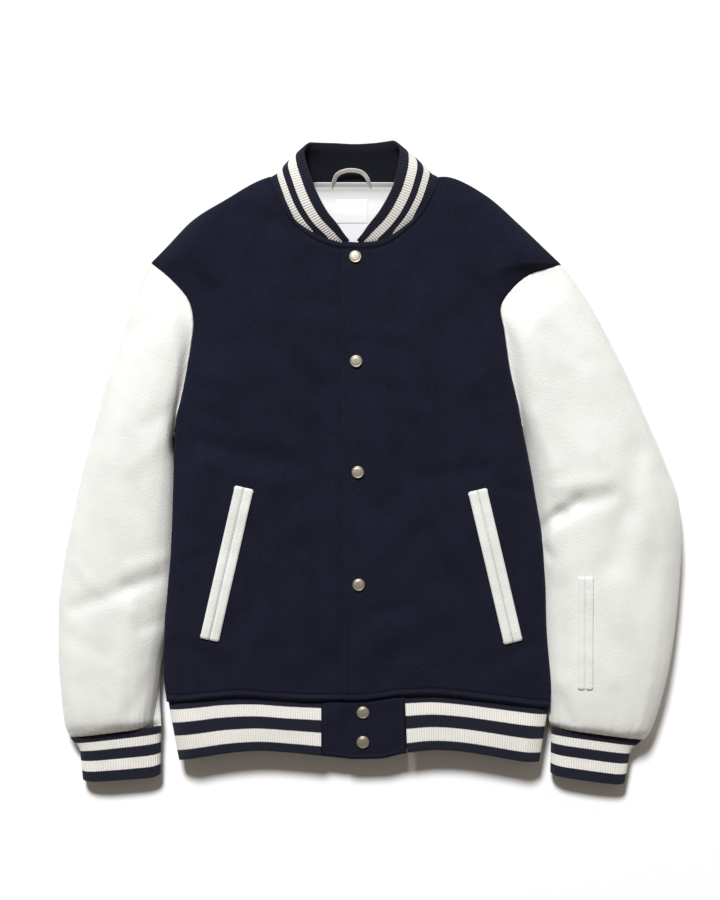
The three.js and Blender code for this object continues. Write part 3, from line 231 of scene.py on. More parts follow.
shoulder_y = through(SHOULDER, "x", "y")
shoulder_z = through(SHOULDER, "x", "z")
hem_y = through(HEM_SEAM, "x", "y")
fill_z = through(FILL, "y", "z")
side_x = {side: through(SIDE[side], "y", "x") for side in SIDE}
side_z = {side: through(SIDE[side], "y", "z") for side in SIDE}
side_path = {side: path_through({"x": SIDE[side]["x"], "y": SIDE[side]["y"]}) for side in SIDE}


def front_height(side, x, y):
    """Height of a front: it rises in a roll from the side and the shoulder to the filled-out middle."""
    sign = -1 if side == "right" else 1
    share = np.clip(sign * (side_x[side](y) - x) / SIDE_ROLL, 0, 1)
    at_armhole = smooth(y, UNDERARM[side], UNDERARM[side] + 60)
    side_roll = mix(np.sqrt(1 - (1 - share) ** 2), 1 - (1 - share) ** 2, at_armhole)
    top_roll = np.sqrt(1 - (1 - np.clip((shoulder_y(x) - y) / SHOULDER_ROLL, 0, 1)) ** 2)
    near_side = (1 - side_roll + 1e-6) / (side_roll + 1e-6)
    near_top = (1 - top_roll) / (top_roll + 1e-9)
    edge = (side_z[side](y) * near_side + shoulder_z(x) * near_top) / (near_side + near_top)
    full = edge + (fill_z(y) - edge + folds_at(WOOL_FOLDS, x, y)) * side_roll * top_roll
    under_overlap = smooth(x, *OVERLAP_FADE) if side == "right" else 0
    lip = 1 - smooth(y - hem_y(x), 0, HEM_LIP["reach"])
    return full - OVERLAP_DROP * under_overlap - HEM_LIP["height"] * lip**2 * side_roll**3


def top_path(side):
    """The neck seam and then the shoulder seam, from the centre front to the shoulder tip."""
    neck = path_through({name: column[: NECK_POINT + 1] for name, column in TOP[side].items()})
    shoulder = path_through({name: column[NECK_POINT:] for name, column in TOP[side].items()})
    return lambda u: np.where(
        (u < NECK_SHARE)[:, None], neck(u / NECK_SHARE), shoulder((u - NECK_SHARE) / (1 - NECK_SHARE))
    )


def ridge(distance, middle, width, height):
    """A rounded ridge, or a groove where height is negative, along a line at some distance from an edge."""
    return height * np.exp(-(((distance - middle) / width) ** 2))


def pucker(along, distance, pitch, height, reach):
    """Small uneven gathers that run in from a seam and die out."""
    wave = np.sin(2 * np.pi * along / pitch + 1.7 * np.sin(2 * np.pi * along / (4.1 * pitch)))
    return height * wave * np.exp(-distance / reach)


def wool_creases(x, y):
    """Rise of the fronts' creases, with a faint unevenness of the thick cloth."""
    return folds_at(WOOL_CREASES, x, y) + 1.3 * wobble(x, y, 95, 0.7)


def front_form(side):
    edge = FRONT_EDGE[side]
    corner = SIDE[side]["x"][0]

    def hem(u):
        x = mix(edge["bottom"], corner, u)
        return np.stack([x, hem_y(x), 0 * x], axis=1)

    def opening(v):
        y = mix(hem_y(np.array([edge["bottom"]]))[0], TOP[side]["y"][0], v)
        return np.stack([mix(edge["bottom"], edge["top"], v), y, 0 * v], axis=1)

    patch = patch_between(hem, top_path(side), opening, side_path[side])

    def form(u, v):
        p = patch(u, v)
        neck = 1 - smooth(u, NECK_SHARE - 0.05, NECK_SHARE + 0.01)
        from_top = apart(p, patch(u, np.ones_like(v)))
        inwards = unit((NECK_MIDDLE - p) * (1, 1, 0))
        p += inwards * (NECK_LIP * neck * np.exp(-from_top / 5))[:, None]
        x, y = p[:, 0], p[:, 1]
        from_edge = apart(p, opening(v))
        from_side = apart(p, side_path[side](v))
        from_hem = apart(p, patch(u, np.zeros_like(v)))
        z = front_height(side, x, y)
        calm = smooth(from_side, 0, 18) * smooth(from_hem, 4, 26) * smooth(from_top, 2, 24)
        z += wool_creases(x, y) * calm
        z += ridge(from_hem, 0, 1.2, -1.8) + ridge(from_hem, 4, 2.8, 1.9) + ridge(from_hem, 8.6, 1.5, -1.7)
        z += pucker(x, np.abs(from_hem - 8), 7, 0.35, 5)
        z += ridge(from_side, 0, 1.8, -1.3) + pucker(y, from_side, 9, 0.4, 7)
        lip = ridge(from_top, 0, 1.2, -1.6) + ridge(from_top, 3.4, 2.2, 1.5) + ridge(from_top, 7.2, 1.4, -1.3)
        z += lip * neck
        z += ridge(from_edge, 0, 1.5, -1.3) + ridge(from_edge, 2.5, 1.3, 0.5) + ridge(from_edge, 4.8, 1, -1.3)
        if side == "right":
            z += ridge(x, OVERLAP_LINE, 4, -2)
        return np.stack([x, y, z], axis=1)

    return form


def crowd(share):
    """Spreads a grid's lines so that they lie closer together at both edges."""
    return lambda t: t - share * np.sin(2 * np.pi * t) / (2 * np.pi)


def sheet_mesh(name, columns, rows, form, outside, pattern=None, crowding=0.7):
    """A grid of faces, each point placed by form(u, v) in mm, with a UV map in metres where asked."""
    bm = bmesh.new()
    bm.loops.layers.uv.new("pattern")
    bmesh.ops.create_grid(bm, x_segments=columns, y_segments=rows, size=0.5, calc_uvs=True)
    if outside < 0:
        bmesh.ops.reverse_faces(bm, faces=bm.faces)
    mesh = bpy.data.meshes.new(name)
    bm.to_mesh(mesh)
    bm.free()
    spread = crowd(crowding)
    flat = np.zeros(len(mesh.vertices) * 3)
    mesh.vertices.foreach_get("co", flat)
    u, v = spread(flat.reshape(-1, 3)[:, 0] + 0.5), spread(flat.reshape(-1, 3)[:, 1] + 0.5)
    u, v = np.clip(u, 0, 1), np.clip(v, 0, 1)
    mesh.vertices.foreach_set("co", (form(u, v) * MM).ravel())
    corners = np.zeros(len(mesh.loops) * 2)
    layer = mesh.uv_layers["pattern"].uv
    layer.foreach_get("vector", corners)
    corners = spread(corners.reshape(-1, 2))
    if pattern:
        corners = np.stack(pattern(corners[:, 0], corners[:, 1]), axis=1) * MM
    layer.foreach_set("vector", corners.ravel())
    mesh.update()
    return mesh


def dress(name, mesh, material, slot, *nodes):
    """Adds a smooth piece that rides on the jacket and stands for the frame's nodes that are named."""
    mesh.polygons.foreach_set("use_smooth", np.ones(len(mesh.polygons), bool))
    piece = bpy.data.objects.new(name, mesh)
    bpy.context.scene.collection.objects.link(piece)
    mesh.materials.clear()
    mesh.materials.append(material)
    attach(piece, "root")
    if nodes:
        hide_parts(*nodes)
    return piece


def give_wall(piece, thickness):
    """Gives a cloth its thickness inwards, with closed edges."""
    wall = piece.modifiers.new("cloth wall", "SOLIDIFY")
    wall.thickness = thickness * MM
    wall.offset = -1
    return piece


def cut(piece, width, length, area, *rests_on):
    """Turns a sewn cloth's flat area from mm2 into m2 and keeps nothing; its width and length in mm are not
    used.
    """
    area = None if area is None else area * MM**2


def new_finish(name, colour, **sockets):
    """A material, its node tree and its shader, with the numbers that are the same all over the piece."""
    material = bpy.data.materials.new(name)
    material.use_nodes = True
    shader = material.node_tree.nodes["Principled BSDF"]
    shader.inputs["Base Color"].default_value = (*colour, 1)
    for socket, value in sockets.items():
        shader.inputs[socket.replace("_", " ")].default_value = value
    return material, material.node_tree, shader


def node(tree, kind, inputs, **settings):
    """Adds a node; each input is a number, a colour, or another node's output to link."""
    new = tree.nodes.new("ShaderNode" + kind)
    for name, value in settings.items():
        setattr(new, name, value)
    for name, value in inputs.items():
        if isinstance(value, bpy.types.NodeSocket):
            tree.links.new(value, new.inputs[name])
        else:
            new.inputs[name].default_value = value
    return new


def maths(tree, operation, *values):
    return node(tree, "Math", dict(enumerate(values)), operation=operation).outputs[0]


def add_bump(tree, shader, height, strength, distance, invert=False):
    """Fine relief below the size of the mesh's faces, up to a distance in metres."""
    bump = node(tree, "Bump", {"Height": height, "Strength": strength, "Distance": distance}, invert=invert)
    tree.links.new(bump.outputs[0], shader.inputs["Normal"])


def colour_between(tree, low, high, amount):
    """A colour that goes from low to high with an amount from 0 to 1."""
    blend = node(tree, "Mix", {0: amount, 6: (*low, 1), 7: (*high, 1)}, data_type="RGBA")
    return blend.outputs[2]


def make_wool(name):
    """Brushed melton: a short matted nap of tiny fibres in slightly different blues."""
    wool, tree, shader = new_finish(
        name, WOOL_COLOUR, Roughness=0.95, Specular_IOR_Level=0.1, Sheen_Weight=0.035, Sheen_Roughness=0.5,
        Sheen_Tint=(0.6, 0.66, 0.9, 1),
    )
    place = node(tree, "TexCoord", {}).outputs["Object"]
    clouds = node(tree, "TexNoise", {"Vector": place, "Scale": 30.0, "Detail": 3.0}).outputs[0]
    fine = {"Vector": place, "Scale": 1300.0, "Detail": 3.0, "Roughness": 0.7}
    coarse = {"Vector": place, "Scale": 420.0, "Detail": 5.0, "Distortion": 1.5}
    fibres = node(tree, "TexNoise", fine).outputs[0]
    matted = node(tree, "TexNoise", coarse).outputs[0]
    mixed = maths(tree, "MULTIPLY_ADD", clouds, 0.35, fibres)
    flecks = maths(tree, "MULTIPLY_ADD", matted, 0.6, mixed)
    amount = node(tree, "MapRange", {0: flecks, 1: 0.78, 2: 1.2}).outputs[0]
    dark, light = (tuple(share * c for c in WOOL_COLOUR) for share in (0.62, 1.45))
    tree.links.new(colour_between(tree, dark, light, amount), shader.inputs["Base Color"])
    nap = maths(tree, "ADD", fibres, matted)
    add_bump(tree, shader, nap, 0.6, 0.0005)
    return wool


wool = make_wool("brushed navy melton")
for side, outside in (("right", -1), ("left", 1)):
    mesh = sheet_mesh(f"wool_front_{side}", 92, 200, front_form(side), outside)
    front = give_wall(dress(f"wool_front_{side}", mesh, wool, "wool", f"front_{side}"), WOOL_THICKNESS)
    cut(front, *FRONT_CUT[side], "wool_back")

# Wool back
# One panel of the same melton. It lies flat on the surface and rolls up to the side, armhole, shoulder and
# neck seams, with a few soft creases pressed into it by the jacket's weight.
BACK_CUT = (600, 672, 268000)
UNDER_ROLL = 50
UNDER_SEAM = {
    "right": table(
        "y z", (-282, 36), (-256, 38), (42, 38), (58, 26), (96, 11), (150, 6), (200, 7), (224, 14), (233, 25)
    ),
    "left": table(
        "y z", (-289, 36), (-262, 38), (51, 38), (67, 26), (105, 11), (155, 6), (205, 7), (224, 14), (231, 25)
    ),
}
BACK_NECK = table(
    "x y z",
    (-102, 333, 37.7), (-92, 331, 24), (-76, 329, 10), (-50, 327, 2), (-3, 327, 0), (44, 327, 2),
    (70, 329, 10), (86, 331, 24), (96, 333, 37.7),
)
BACK_HEM = table(
    "x y", (-223, -282), (-215, -283.5), (-190, -284), (0, -284.5), (190, -287), (217, -289.5), (226, -289)
)
BACK_CREASES = table(
    "x1 y1 x2 y2 width height",
    (-150, 180, -90, 90, 14, 3), (140, 190, 90, 95, 14, 3), (-120, -180, 40, -205, 12, 2.6),
    (-40, -120, 130, -150, 13, 2.8), (-30, 240, -20, 130, 16, 2), (60, 20, 150, -30, 14, 2.4),
    (-160, -60, -70, -20, 13, 2.4),
)
under_z = {side: through(UNDER_SEAM[side], "y", "z") for side in UNDER_SEAM}
back_neck_y = through(BACK_NECK, "x", "y")
back_neck_z = through(BACK_NECK, "x", "z")
back_hem_y = through(BACK_HEM, "x", "y")


def back_height(x, y):
    from_right, from_left = x - side_x["right"](y), side_x["left"](y) - x
    share = np.clip(1 - np.minimum(from_right, from_left) / UNDER_ROLL, 0, 1)
    at_neck = (x > BACK_NECK["x"][0]) & (x < BACK_NECK["x"][-1])
    top_y = np.where(at_neck, back_neck_y(x), shoulder_y(x))
    top_z = np.where(at_neck, back_neck_z(x), shoulder_z(x))
    seam_z = np.where(from_right < from_left, under_z["right"](y), under_z["left"](y))
    top_share = np.clip(1 - (top_y - y) / SHOULDER_ROLL, 0, 1)
    return np.maximum((seam_z - SEAM) * share**1.5, (top_z - SEAM) * top_share**1.6).clip(0)


def back_top(u):
    right, left = top_path("right"), top_path("left")
    steps = np.linspace(0, 1, 60)
    neck_x = mix(BACK_NECK["x"][0], BACK_NECK["x"][-1], steps[1:-1])
    neck = np.stack([neck_x, back_neck_y(neck_x), 0 * neck_x], axis=1)
    shoulder = mix(NECK_SHARE, 1, steps)
    line = np.vstack([right(shoulder)[::-1], neck, left(shoulder)])
    share = (line[:, 0] - line[0, 0]) / (line[-1, 0] - line[0, 0])
    return read_line(u, share, line)


def back_hem(u):
    x = mix(SIDE["right"]["x"][0], SIDE["left"]["x"][0], u)
    return np.stack([x, back_hem_y(x), 0 * x], axis=1)


back_patch = patch_between(back_hem, back_top, side_path["right"], side_path["left"])


def back_form(u, v):
    p = back_patch(u, v)
    x, y = p[:, 0], p[:, 1]
    from_right = apart(p, side_path["right"](v))
    from_left = apart(p, side_path["left"](v))
    from_side = np.minimum(from_right, from_left)
    from_hem = apart(p, back_hem(u))
    calm = smooth(from_side, 20, 60) * smooth(from_hem, 10, 40)
    z = back_height(x, y) + (folds_at(BACK_CREASES, x, y) + 0.5 + 0.5 * wobble(x, y, 110, 2.1)) * calm
    z += ridge(from_hem, 0, 1.6, 1.5) + ridge(from_hem, 8.2, 1.4, 1.1) * smooth(from_side, 4, 30)
    z += ridge(from_side, 0, 1.8, 0.9) * smooth(v, 0.02, 0.08)
    return np.stack([x, y, z.clip(0)], axis=1)


mesh = sheet_mesh("wool_back", 132, 150, back_form, -1)
back = give_wall(dress("wool_back", mesh, wool, "wool", "back"), WOOL_THICKNESS)
cut(back, *BACK_CUT, "floor")

# Leather sleeves
# Each is a top and an under panel of off-white pebbled leather, seamed along its outer and inner edge, set
# into the wool armhole and gathered a little into the cuff. They lie filled out, bent a little at the
# elbow.
LEATHER_THICKNESS = 1.8
SLEEVE_CUT = {
    ("top", "right"): (165, 575, 72000), ("under", "right"): (165, 575, 71500),
    ("top", "left"): (205, 600, 93500), ("under", "left"): (205, 600, 92000),
}
LEATHER_COLOUR = (0.785, 0.79, 0.75)
SLEEVE_COLUMNS = "ox oy oz ix iy iz crown lap"
SLEEVE = {
    "right": table(
        SLEEVE_COLUMNS,
        (-242.3, 233, 25, -212.4, 41, 37, 50, 0), (-254, 207, 26, -216, 28, 31, 56, 0),
        (-266, 172, 28, -214.5, 8, 24, 60, 0), (-281, 128, 30, -210, -18, 24, 62, 0),
        (-296, 84, 30, -209, -46, 24, 63, 0), (-310, 34, 30, -209, -76, 24, 63, 0),
        (-323, -16, 30, -210, -106, 24, 62, 0), (-335, -72, 30, -212, -138, 24, 60, 0),
        (-345, -125, 29, -215, -170, 24, 58, 0), (-351, -178, 28, -221, -200, 24, 57, 1),
        (-351, -228, 28, -230, -236, 24, 56, 4), (-348, -272, 27, -235, -276, 24, 54, 7),
        (-344, -308, 25, -239, -302, 24, 50, 10), (-338, -325, 20, -241, -313, 18, 38, 11),
    ),
    "left": table(
        SLEEVE_COLUMNS,
        (240.3, 231, 25, 191.4, 50, 37, 50, 0), (256, 211, 26, 195, 35, 31, 56, 0),
        (276, 180, 28, 197, 12, 24, 60, 0), (297, 140, 30, 199, -12, 24, 62, 0),
        (319, 96, 30, 202, -40, 24, 63, 0), (342, 45, 30, 206, -70, 24, 64, 0),
        (363, -5, 30, 208, -100, 24, 64, 0), (378, -50, 30, 211, -132, 24, 63, 0),
        (381, -95, 30, 213, -160, 24, 61, 0), (379, -140, 29, 214, -188, 24, 60, 0),
        (374, -195, 28, 216, -220, 24, 58, 0), (366, -247, 27, 219, -255, 24, 56, 0),
        (355, -290, 26, 224, -287, 24, 52, 0), (345, -318, 24, 226, -305, 24, 47, 0),
        (338, -328, 20, 228, -313, 15, 38, 0),
    ),
}
SLEEVE_ROUND = table(
    "across up",
    (0, 0), (0.02, 0.29), (0.07, 0.58), (0.16, 0.83), (0.3, 0.97), (0.46, 1), (0.62, 0.98), (0.76, 0.89),
    (0.87, 0.7), (0.95, 0.38), (1, 0),
)
ARMHOLE_ROWS = np.array([0.61, 0.655, 0.7, 0.75, 0.8, 0.85, 0.895, 0.935, 0.965, 0.987, 1])
ARMHOLE_FADE = {"outer": 5, "inner": 2}
ARMHOLE_BLEND = 1.6
SLEEVE_FLAT = 0.16
LAP_SHARE = 0.24
LAP_FULL = 1.9
LAP_RISE = 1.6
SLEEVE_FOLDS = table(
    "x1 y1 x2 y2 width height",
    (-200, 205, -259, 146, 12, -3), (-232, -136, -267, -148, 9, -3.6), (-267, -148, -330, -171, 10, -3),
    (-250, -172, -248, -230, 13, -2), (206, -86, 238, -62, 8, -6), (238, -62, 258, -49, 9, -5),
    (258, -49, 296, -40, 10, -3.6), (328, 8, 315, -58, 16, -2.6), (315, -58, 295, -120, 16, -2.6),
    (205, 52, 226, -6, 12, 2.4),
)
SLEEVE_CREASES = table(
    "x1 y1 x2 y2 width height",
    (-236, 160, -262, 60, 12, -1.5), (-215, 60, -250, 40, 9, -1.4), (-218, 30, -262, -8, 10, 1.3),
    (-222, -112, -262, -124, 8, 1.6), (-224, -160, -262, -176, 8, 1.2), (-224, -186, -252, -196, 7, -1.4),
    (-330, -120, -300, -152, 9, 1.3), (-340, -205, -290, -225, 12, -1.2), (-240, -250, -262, -290, 9, -1.5),
    (-275, -255, -280, -300, 9, 1.2), (-320, -260, -312, -308, 10, -1.3), (-300, 60, -285, -60, 16, 1.1),
    (232, -30, 286, -24, 8, 1.8), (222, -98, 228, -76, 5, 2.4), (219, -100, 226, -112, 5, -2.6),
    (238, 96, 268, 30, 13, -1.6), (225, 150, 262, 118, 12, -1.3), (335, 60, 345, 0, 12, 1.2),
    (348, -110, 330, -170, 13, -1.4), (236, -150, 240, -240, 12, -1.2), (300, -272, 305, -312, 9, -1.4),
    (340, -262, 332, -312, 9, 1.2), (236, -276, 252, -306, 8, -1.4), (276, 30, 300, -10, 12, 1.2),
)
round_up = through(SLEEVE_ROUND, "across", "up")
armhole_row = through({"across": SLEEVE_ROUND["across"], "v": ARMHOLE_ROWS[::-1]}, "across", "v")


def across_armhole(side, v):
    """Direction in plan from the body across its armhole seam, at a share of the side path."""
    along = side_path[side](v + 0.004) - side_path[side](v - 0.004)
    turn = -1 if side == "right" else 1
    return unit(np.stack([along[:, 1] * turn, -along[:, 0] * turn, 0 * v], axis=1))


def sleeve_form(side, under):
    rows = SLEEVE[side]
    last = len(rows["ox"]) - 1
    by_row = {**rows, "i": np.arange(last + 1.0)}
    read = {name: through(by_row, "i", name) for name in SLEEVE_COLUMNS.split()}

    def at(across, down):
        i = down * last
        outer = np.stack([read[name](i) for name in ("ox", "oy", "oz")], axis=1)
        inner = np.stack([read[name](i) for name in ("ix", "iy", "iz")], axis=1)
        p = mix(outer, inner, across[:, None])
        row = armhole_row(across)
        edge = side_path[side](row)
        seam = edge + across_armhole(side, row) * SEAM
        bow = 1 - smooth(i, 0, mix(ARMHOLE_FADE["outer"], ARMHOLE_FADE["inner"], across**3))
        for axis, (first, second) in enumerate((("ox", "ix"), ("oy", "iy"))):
            p[:, axis] += (seam[:, axis] - mix(rows[first][0], rows[second][0], across)) * bow
        blend = 1 - smooth(i, 0, ARMHOLE_BLEND)
        if under:
            curl = np.clip(1 - np.minimum(across, 1 - across) / SLEEVE_FLAT, 0, 1)
            near_inner = np.clip((1 - across) / LAP_SHARE, 0, 1)
            inwards = unit((inner - outer)[:, :2])
            lap = read["lap"](i) * np.sin(near_inner * np.pi)
            p[:, :2] += inwards * (LAP_FULL * lap)[:, None]
            p[:, 2] = mix(p[:, 2] * curl**1.8 + LAP_RISE * lap, back_height(edge[:, 0], edge[:, 1]), blend)
            p[:, 2] = np.clip(p[:, 2] - SEAM / 2 * (1 - blend), 0, None)
            return p
        raised = p[:, 2] + (read["crown"](i) - p[:, 2]) * round_up(across) + SEAM / 2
        p[:, 2] = mix(raised, front_height(side, edge[:, 0], edge[:, 1]), blend)
        inside = np.minimum(round_up(across) * 3, 1) * (1 - blend)
        p[:, 2] += folds_at(SLEEVE_FOLDS, p[:, 0], p[:, 1]) * inside
        return p

    def form(across, down):
        p = at(across, down)
        from_armhole = apart(p, at(across, np.zeros_like(down)))
        from_cuff = apart(p, at(across, np.ones_like(down)))
        along = across * 190
        if under:
            flat = smooth(np.minimum(across, 1 - across), 0.16, 0.3) * smooth(from_armhole, 10, 50)
            p[:, 2] += flat * (0.6 + 0.6 * wobble(p[:, 0], p[:, 1], 70, 1.3))
            return p
        calm = np.minimum(round_up(across) * 1.5, 1) * smooth(from_armhole, 3, 30) * smooth(from_cuff, 2, 16)
        uneven = folds_at(SLEEVE_CREASES, p[:, 0], p[:, 1]) + 0.7 * wobble(p[:, 0], p[:, 1], 85, 0.4)
        p[:, 2] += uneven * calm
        p[:, 2] += ridge(from_armhole, 0, 1.7, -1.6) + pucker(along, from_armhole, 10, 0.5, 9)
        gathers = np.minimum(round_up(across) * 1.5, 1)
        p[:, 2] += ridge(from_cuff, 0, 2.2, -2.4) * gathers + pucker(along, from_cuff, 13, 1.1, 13) * gathers
        return p

    return form


def make_leather(name):
    """Drum-dyed leather: fine uneven pebbles with creases between them, faint clouds, and a soft sheen."""
    leather, tree, shader = new_finish(
        name, LEATHER_COLOUR, Roughness=0.52, Specular_IOR_Level=0.38, Sheen_Weight=0.3, Sheen_Roughness=0.45
    )
    place = node(tree, "TexCoord", {}).outputs["Object"]
    bend = node(tree, "TexNoise", {"Vector": place, "Scale": 210.0, "Detail": 2.0})
    bend_by = {0: bend.outputs["Color"], 1: (0.0022, 0.0022, 0.0022)}
    moved = node(tree, "VectorMath", bend_by, operation="MULTIPLY")
    warped = node(tree, "VectorMath", {0: place, 1: moved.outputs[0]}, operation="ADD").outputs[0]
    pebbles = node(tree, "TexVoronoi", {"Vector": warped, "Scale": 620.0}, feature="SMOOTH_F1")
    pebbles.inputs["Smoothness"].default_value = 0.35
    larger = node(tree, "TexVoronoi", {"Vector": warped, "Scale": 250.0}, feature="SMOOTH_F1")
    pores = node(tree, "TexNoise", {"Vector": place, "Scale": 2400.0, "Detail": 2.0})
    clouds = node(tree, "TexNoise", {"Vector": place, "Scale": 26.0, "Detail": 3.0})
    both = maths(tree, "MULTIPLY_ADD", larger.outputs[0], 0.5, pebbles.outputs[0])
    grain = maths(tree, "MULTIPLY_ADD", pores.outputs[0], -0.25, both)
    add_bump(tree, shader, grain, 0.5, 0.0005, invert=True)
    worn = tuple(0.93 * c for c in LEATHER_COLOUR)
    tone = node(tree, "MapRange", {0: clouds.outputs[0], 1: 0.35, 2: 0.62}).outputs[0]
    tree.links.new(colour_between(tree, worn, LEATHER_COLOUR, tone), shader.inputs["Base Color"])
    rough = node(tree, "MapRange", {0: pebbles.outputs[0], 1: 0.1, 2: 0.7, 3: 0.45, 4: 0.62}).outputs[0]
    tree.links.new(rough, shader.inputs["Roughness"])
    return leather


leather = make_leather("off-white pebbled leather")
for side in ("right", "left"):
    turn = -1 if side == "right" else 1
    for part, under in (("top", False), ("under", True)):
        name = f"leather_sleeve_{part}_{side}"
        mesh = sheet_mesh(name, 64, 190, sleeve_form(side, under), -turn if under else turn, crowding=0.75)
        sleeve = dress(name, mesh, leather, "leather", f"sleeve_{part}_{side}")
        give_wall(sleeve, LEATHER_THICKNESS)
        cut(sleeve, *SLEEVE_CUT[part, side], "floor" if under else f"leather_sleeve_under_{side}")

# Rib-knit cuffs
# A tube of thick wool rib, folded double at its free edge and sewn to the sleeve's end, navy with two
# knitted white stripes. Its ribs run along the arm, a little drawn in where it is sewn.
KNIT_THICKNESS = 3
RIB_PITCH = 3
RIB_HEIGHT = 0.6
RIB_FACES = 8
KNIT_NAVY = (0.013, 0.0135, 0.026)
KNIT_WHITE = (0.86, 0.84, 0.78)
CUFF_ROUNDNESS = 0.62
CUFF_DEPTH = 51.5
CUFF_FLARE = {"by": 0.1, "over": 0.3}
CUFF_CORNER = 0.05
CUFF_STRIPES = (12.8, 24.6, 36.3, 46)
CUFF = {
    "right": {
        "start": 0.1, "end": 1.1, "ox": -323, "oy": -379, "ix": -232, "iy": -373,
        "top": 33, "lower": 27,
    },
    "left": {
        "start": 0.12, "end": 0.99, "ox": 315, "oy": -383, "ix": 228, "iy": -371,
        "top": 33, "lower": 27,
    },
}
FOLD_SHARE = 0.06


def cuff_form(side):
    cuff, rows = CUFF[side], SLEEVE[side]
    upper_out = np.array([rows["ox"][-1], rows["oy"][-1], 0])
    upper_in = np.array([rows["ix"][-1], rows["iy"][-1], 0])
    turn = 1 if side == "right" else -1
    away = np.array([(upper_in - upper_out)[1] * turn, -(upper_in - upper_out)[0] * turn, 0])
    away = away / np.linalg.norm(away) * SEAM
    lower_out, lower_in = np.array([cuff["ox"], cuff["oy"], 0]), np.array([cuff["ix"], cuff["iy"], 0])

    def ring(share, down):
        cosine, sine = np.cos(share * 2 * np.pi), np.sin(share * 2 * np.pi)
        wide = (0.5 - 0.5 * np.sign(cosine) * np.abs(cosine) ** CUFF_ROUNDNESS)[:, None]
        high = 0.5 + 0.5 * np.sign(sine) * np.abs(sine) ** CUFF_ROUNDNESS
        down = down * (1 - CUFF_CORNER * np.abs(2 * wide[:, 0] - 1) ** 8)
        start = cuff["start"] - CUFF_FLARE["by"] * (1 - smooth(down, 0, CUFF_FLARE["over"]))
        upper = mix(upper_out + away, upper_in + away, mix(start[:, None], cuff["end"], wide))
        p = mix(upper, mix(lower_out, lower_in, wide), down[:, None])
        p[:, 2] = mix(cuff["top"], cuff["lower"], down.clip(0) ** 0.7) * high
        p[:, 2] += 0.8 * wobble(p[:, 0], p[:, 1], 34, 0.9) * smooth(down, 0.1, 0.5) * smooth(high, 0.5, 0.9)
        return p

    shares = np.linspace(0, 1, 801)
    middle = ring(shares, 0 * shares + 0.5)
    length = length_along(middle)
    return lambda around, down: ring(np.interp(around % 1, length / length[-1], shares), down)


def rib_wave(around, ribs):
    """0 on a rib's crest and 1 in the valley beside it; the ribs are broad and the valleys narrow."""
    return 1 - (0.5 + 0.5 * np.cos(2 * np.pi * around * ribs)) ** 0.55


def knit_form(at, thickness, depth, ribs, outside):
    """The doubled knit: v runs down the outer skin, round the free edge and up the inner skin."""

    def form(u, v):
        turned = np.pi * np.clip((v - 0.5 + FOLD_SHARE) / (2 * FOLD_SHARE), 0, 1)
        down = np.clip(np.minimum(v, 1 - v) / (0.5 - FOLD_SHARE), 0, 1)
        small = 1e-3
        thick = thickness(u, down)
        low = down * (1 - 0.5 * thick / depth)
        along = at(u + small, low) - at(u - small, low)
        downward = at(u, low + small) - at(u, low - small)
        normal = unit(np.cross(along, downward) * outside)
        downward = unit(downward)
        facing = normal * np.cos(turned)[:, None] + downward * np.sin(turned)[:, None]
        valley = rib_wave(u, ribs) * RIB_HEIGHT * smooth(np.minimum(v, 1 - v), 0.004, 0.03)
        middle = at(u, low) - normal * (thick / 2)[:, None]
        return middle + facing * (thick / 2 - valley)[:, None]

    return form


def from_fold(v, depth):
    """How far a knit's yarn lies from its fold, less than nothing on the inner skin."""
    down = np.clip(np.minimum(v, 1 - v) / (0.5 - FOLD_SHARE), 0, 1)
    turned = np.clip((0.5 - v) / FOLD_SHARE, -1, 1)
    return np.sign(0.5 - v) * (1 - down) * depth + turned * KNIT_THICKNESS * 0.6


def knit_pattern(length, depth):
    """UV of a knit in millimetres: along the strip, and from its fold."""
    return lambda u, v: (u * length, from_fold(v, depth))


def knit_mesh(name, form, ribs, rows, outside, pattern, closed):
    """A ribbed knit as a closed body: the two skins are joined at the sewn edge, and at the strip's ends."""
    columns = ribs * RIB_FACES
    mesh = sheet_mesh(name, columns, rows, form, outside, pattern, crowding=0)
    body = bmesh.new()
    body.from_mesh(mesh)
    body.verts.ensure_lookup_table()
    grid = [body.verts[row * (columns + 1) : (row + 1) * (columns + 1)] for row in range(rows + 1)]
    for i in range(columns):
        body.faces.new((grid[0][i], grid[0][i + 1], grid[rows][i + 1], grid[rows][i]))
    if closed:
        bmesh.ops.remove_doubles(body, verts=body.verts, dist=1e-6)
    else:
        for column in (0, columns):
            for j in range(rows // 2):
                corners = [grid[row][column] for row in (j, j + 1, rows - j - 1, rows - j)]
                body.faces.new(dict.fromkeys(corners))
    bmesh.ops.recalc_face_normals(body, faces=body.faces)
    body.to_mesh(mesh)
    body.free()
    return mesh


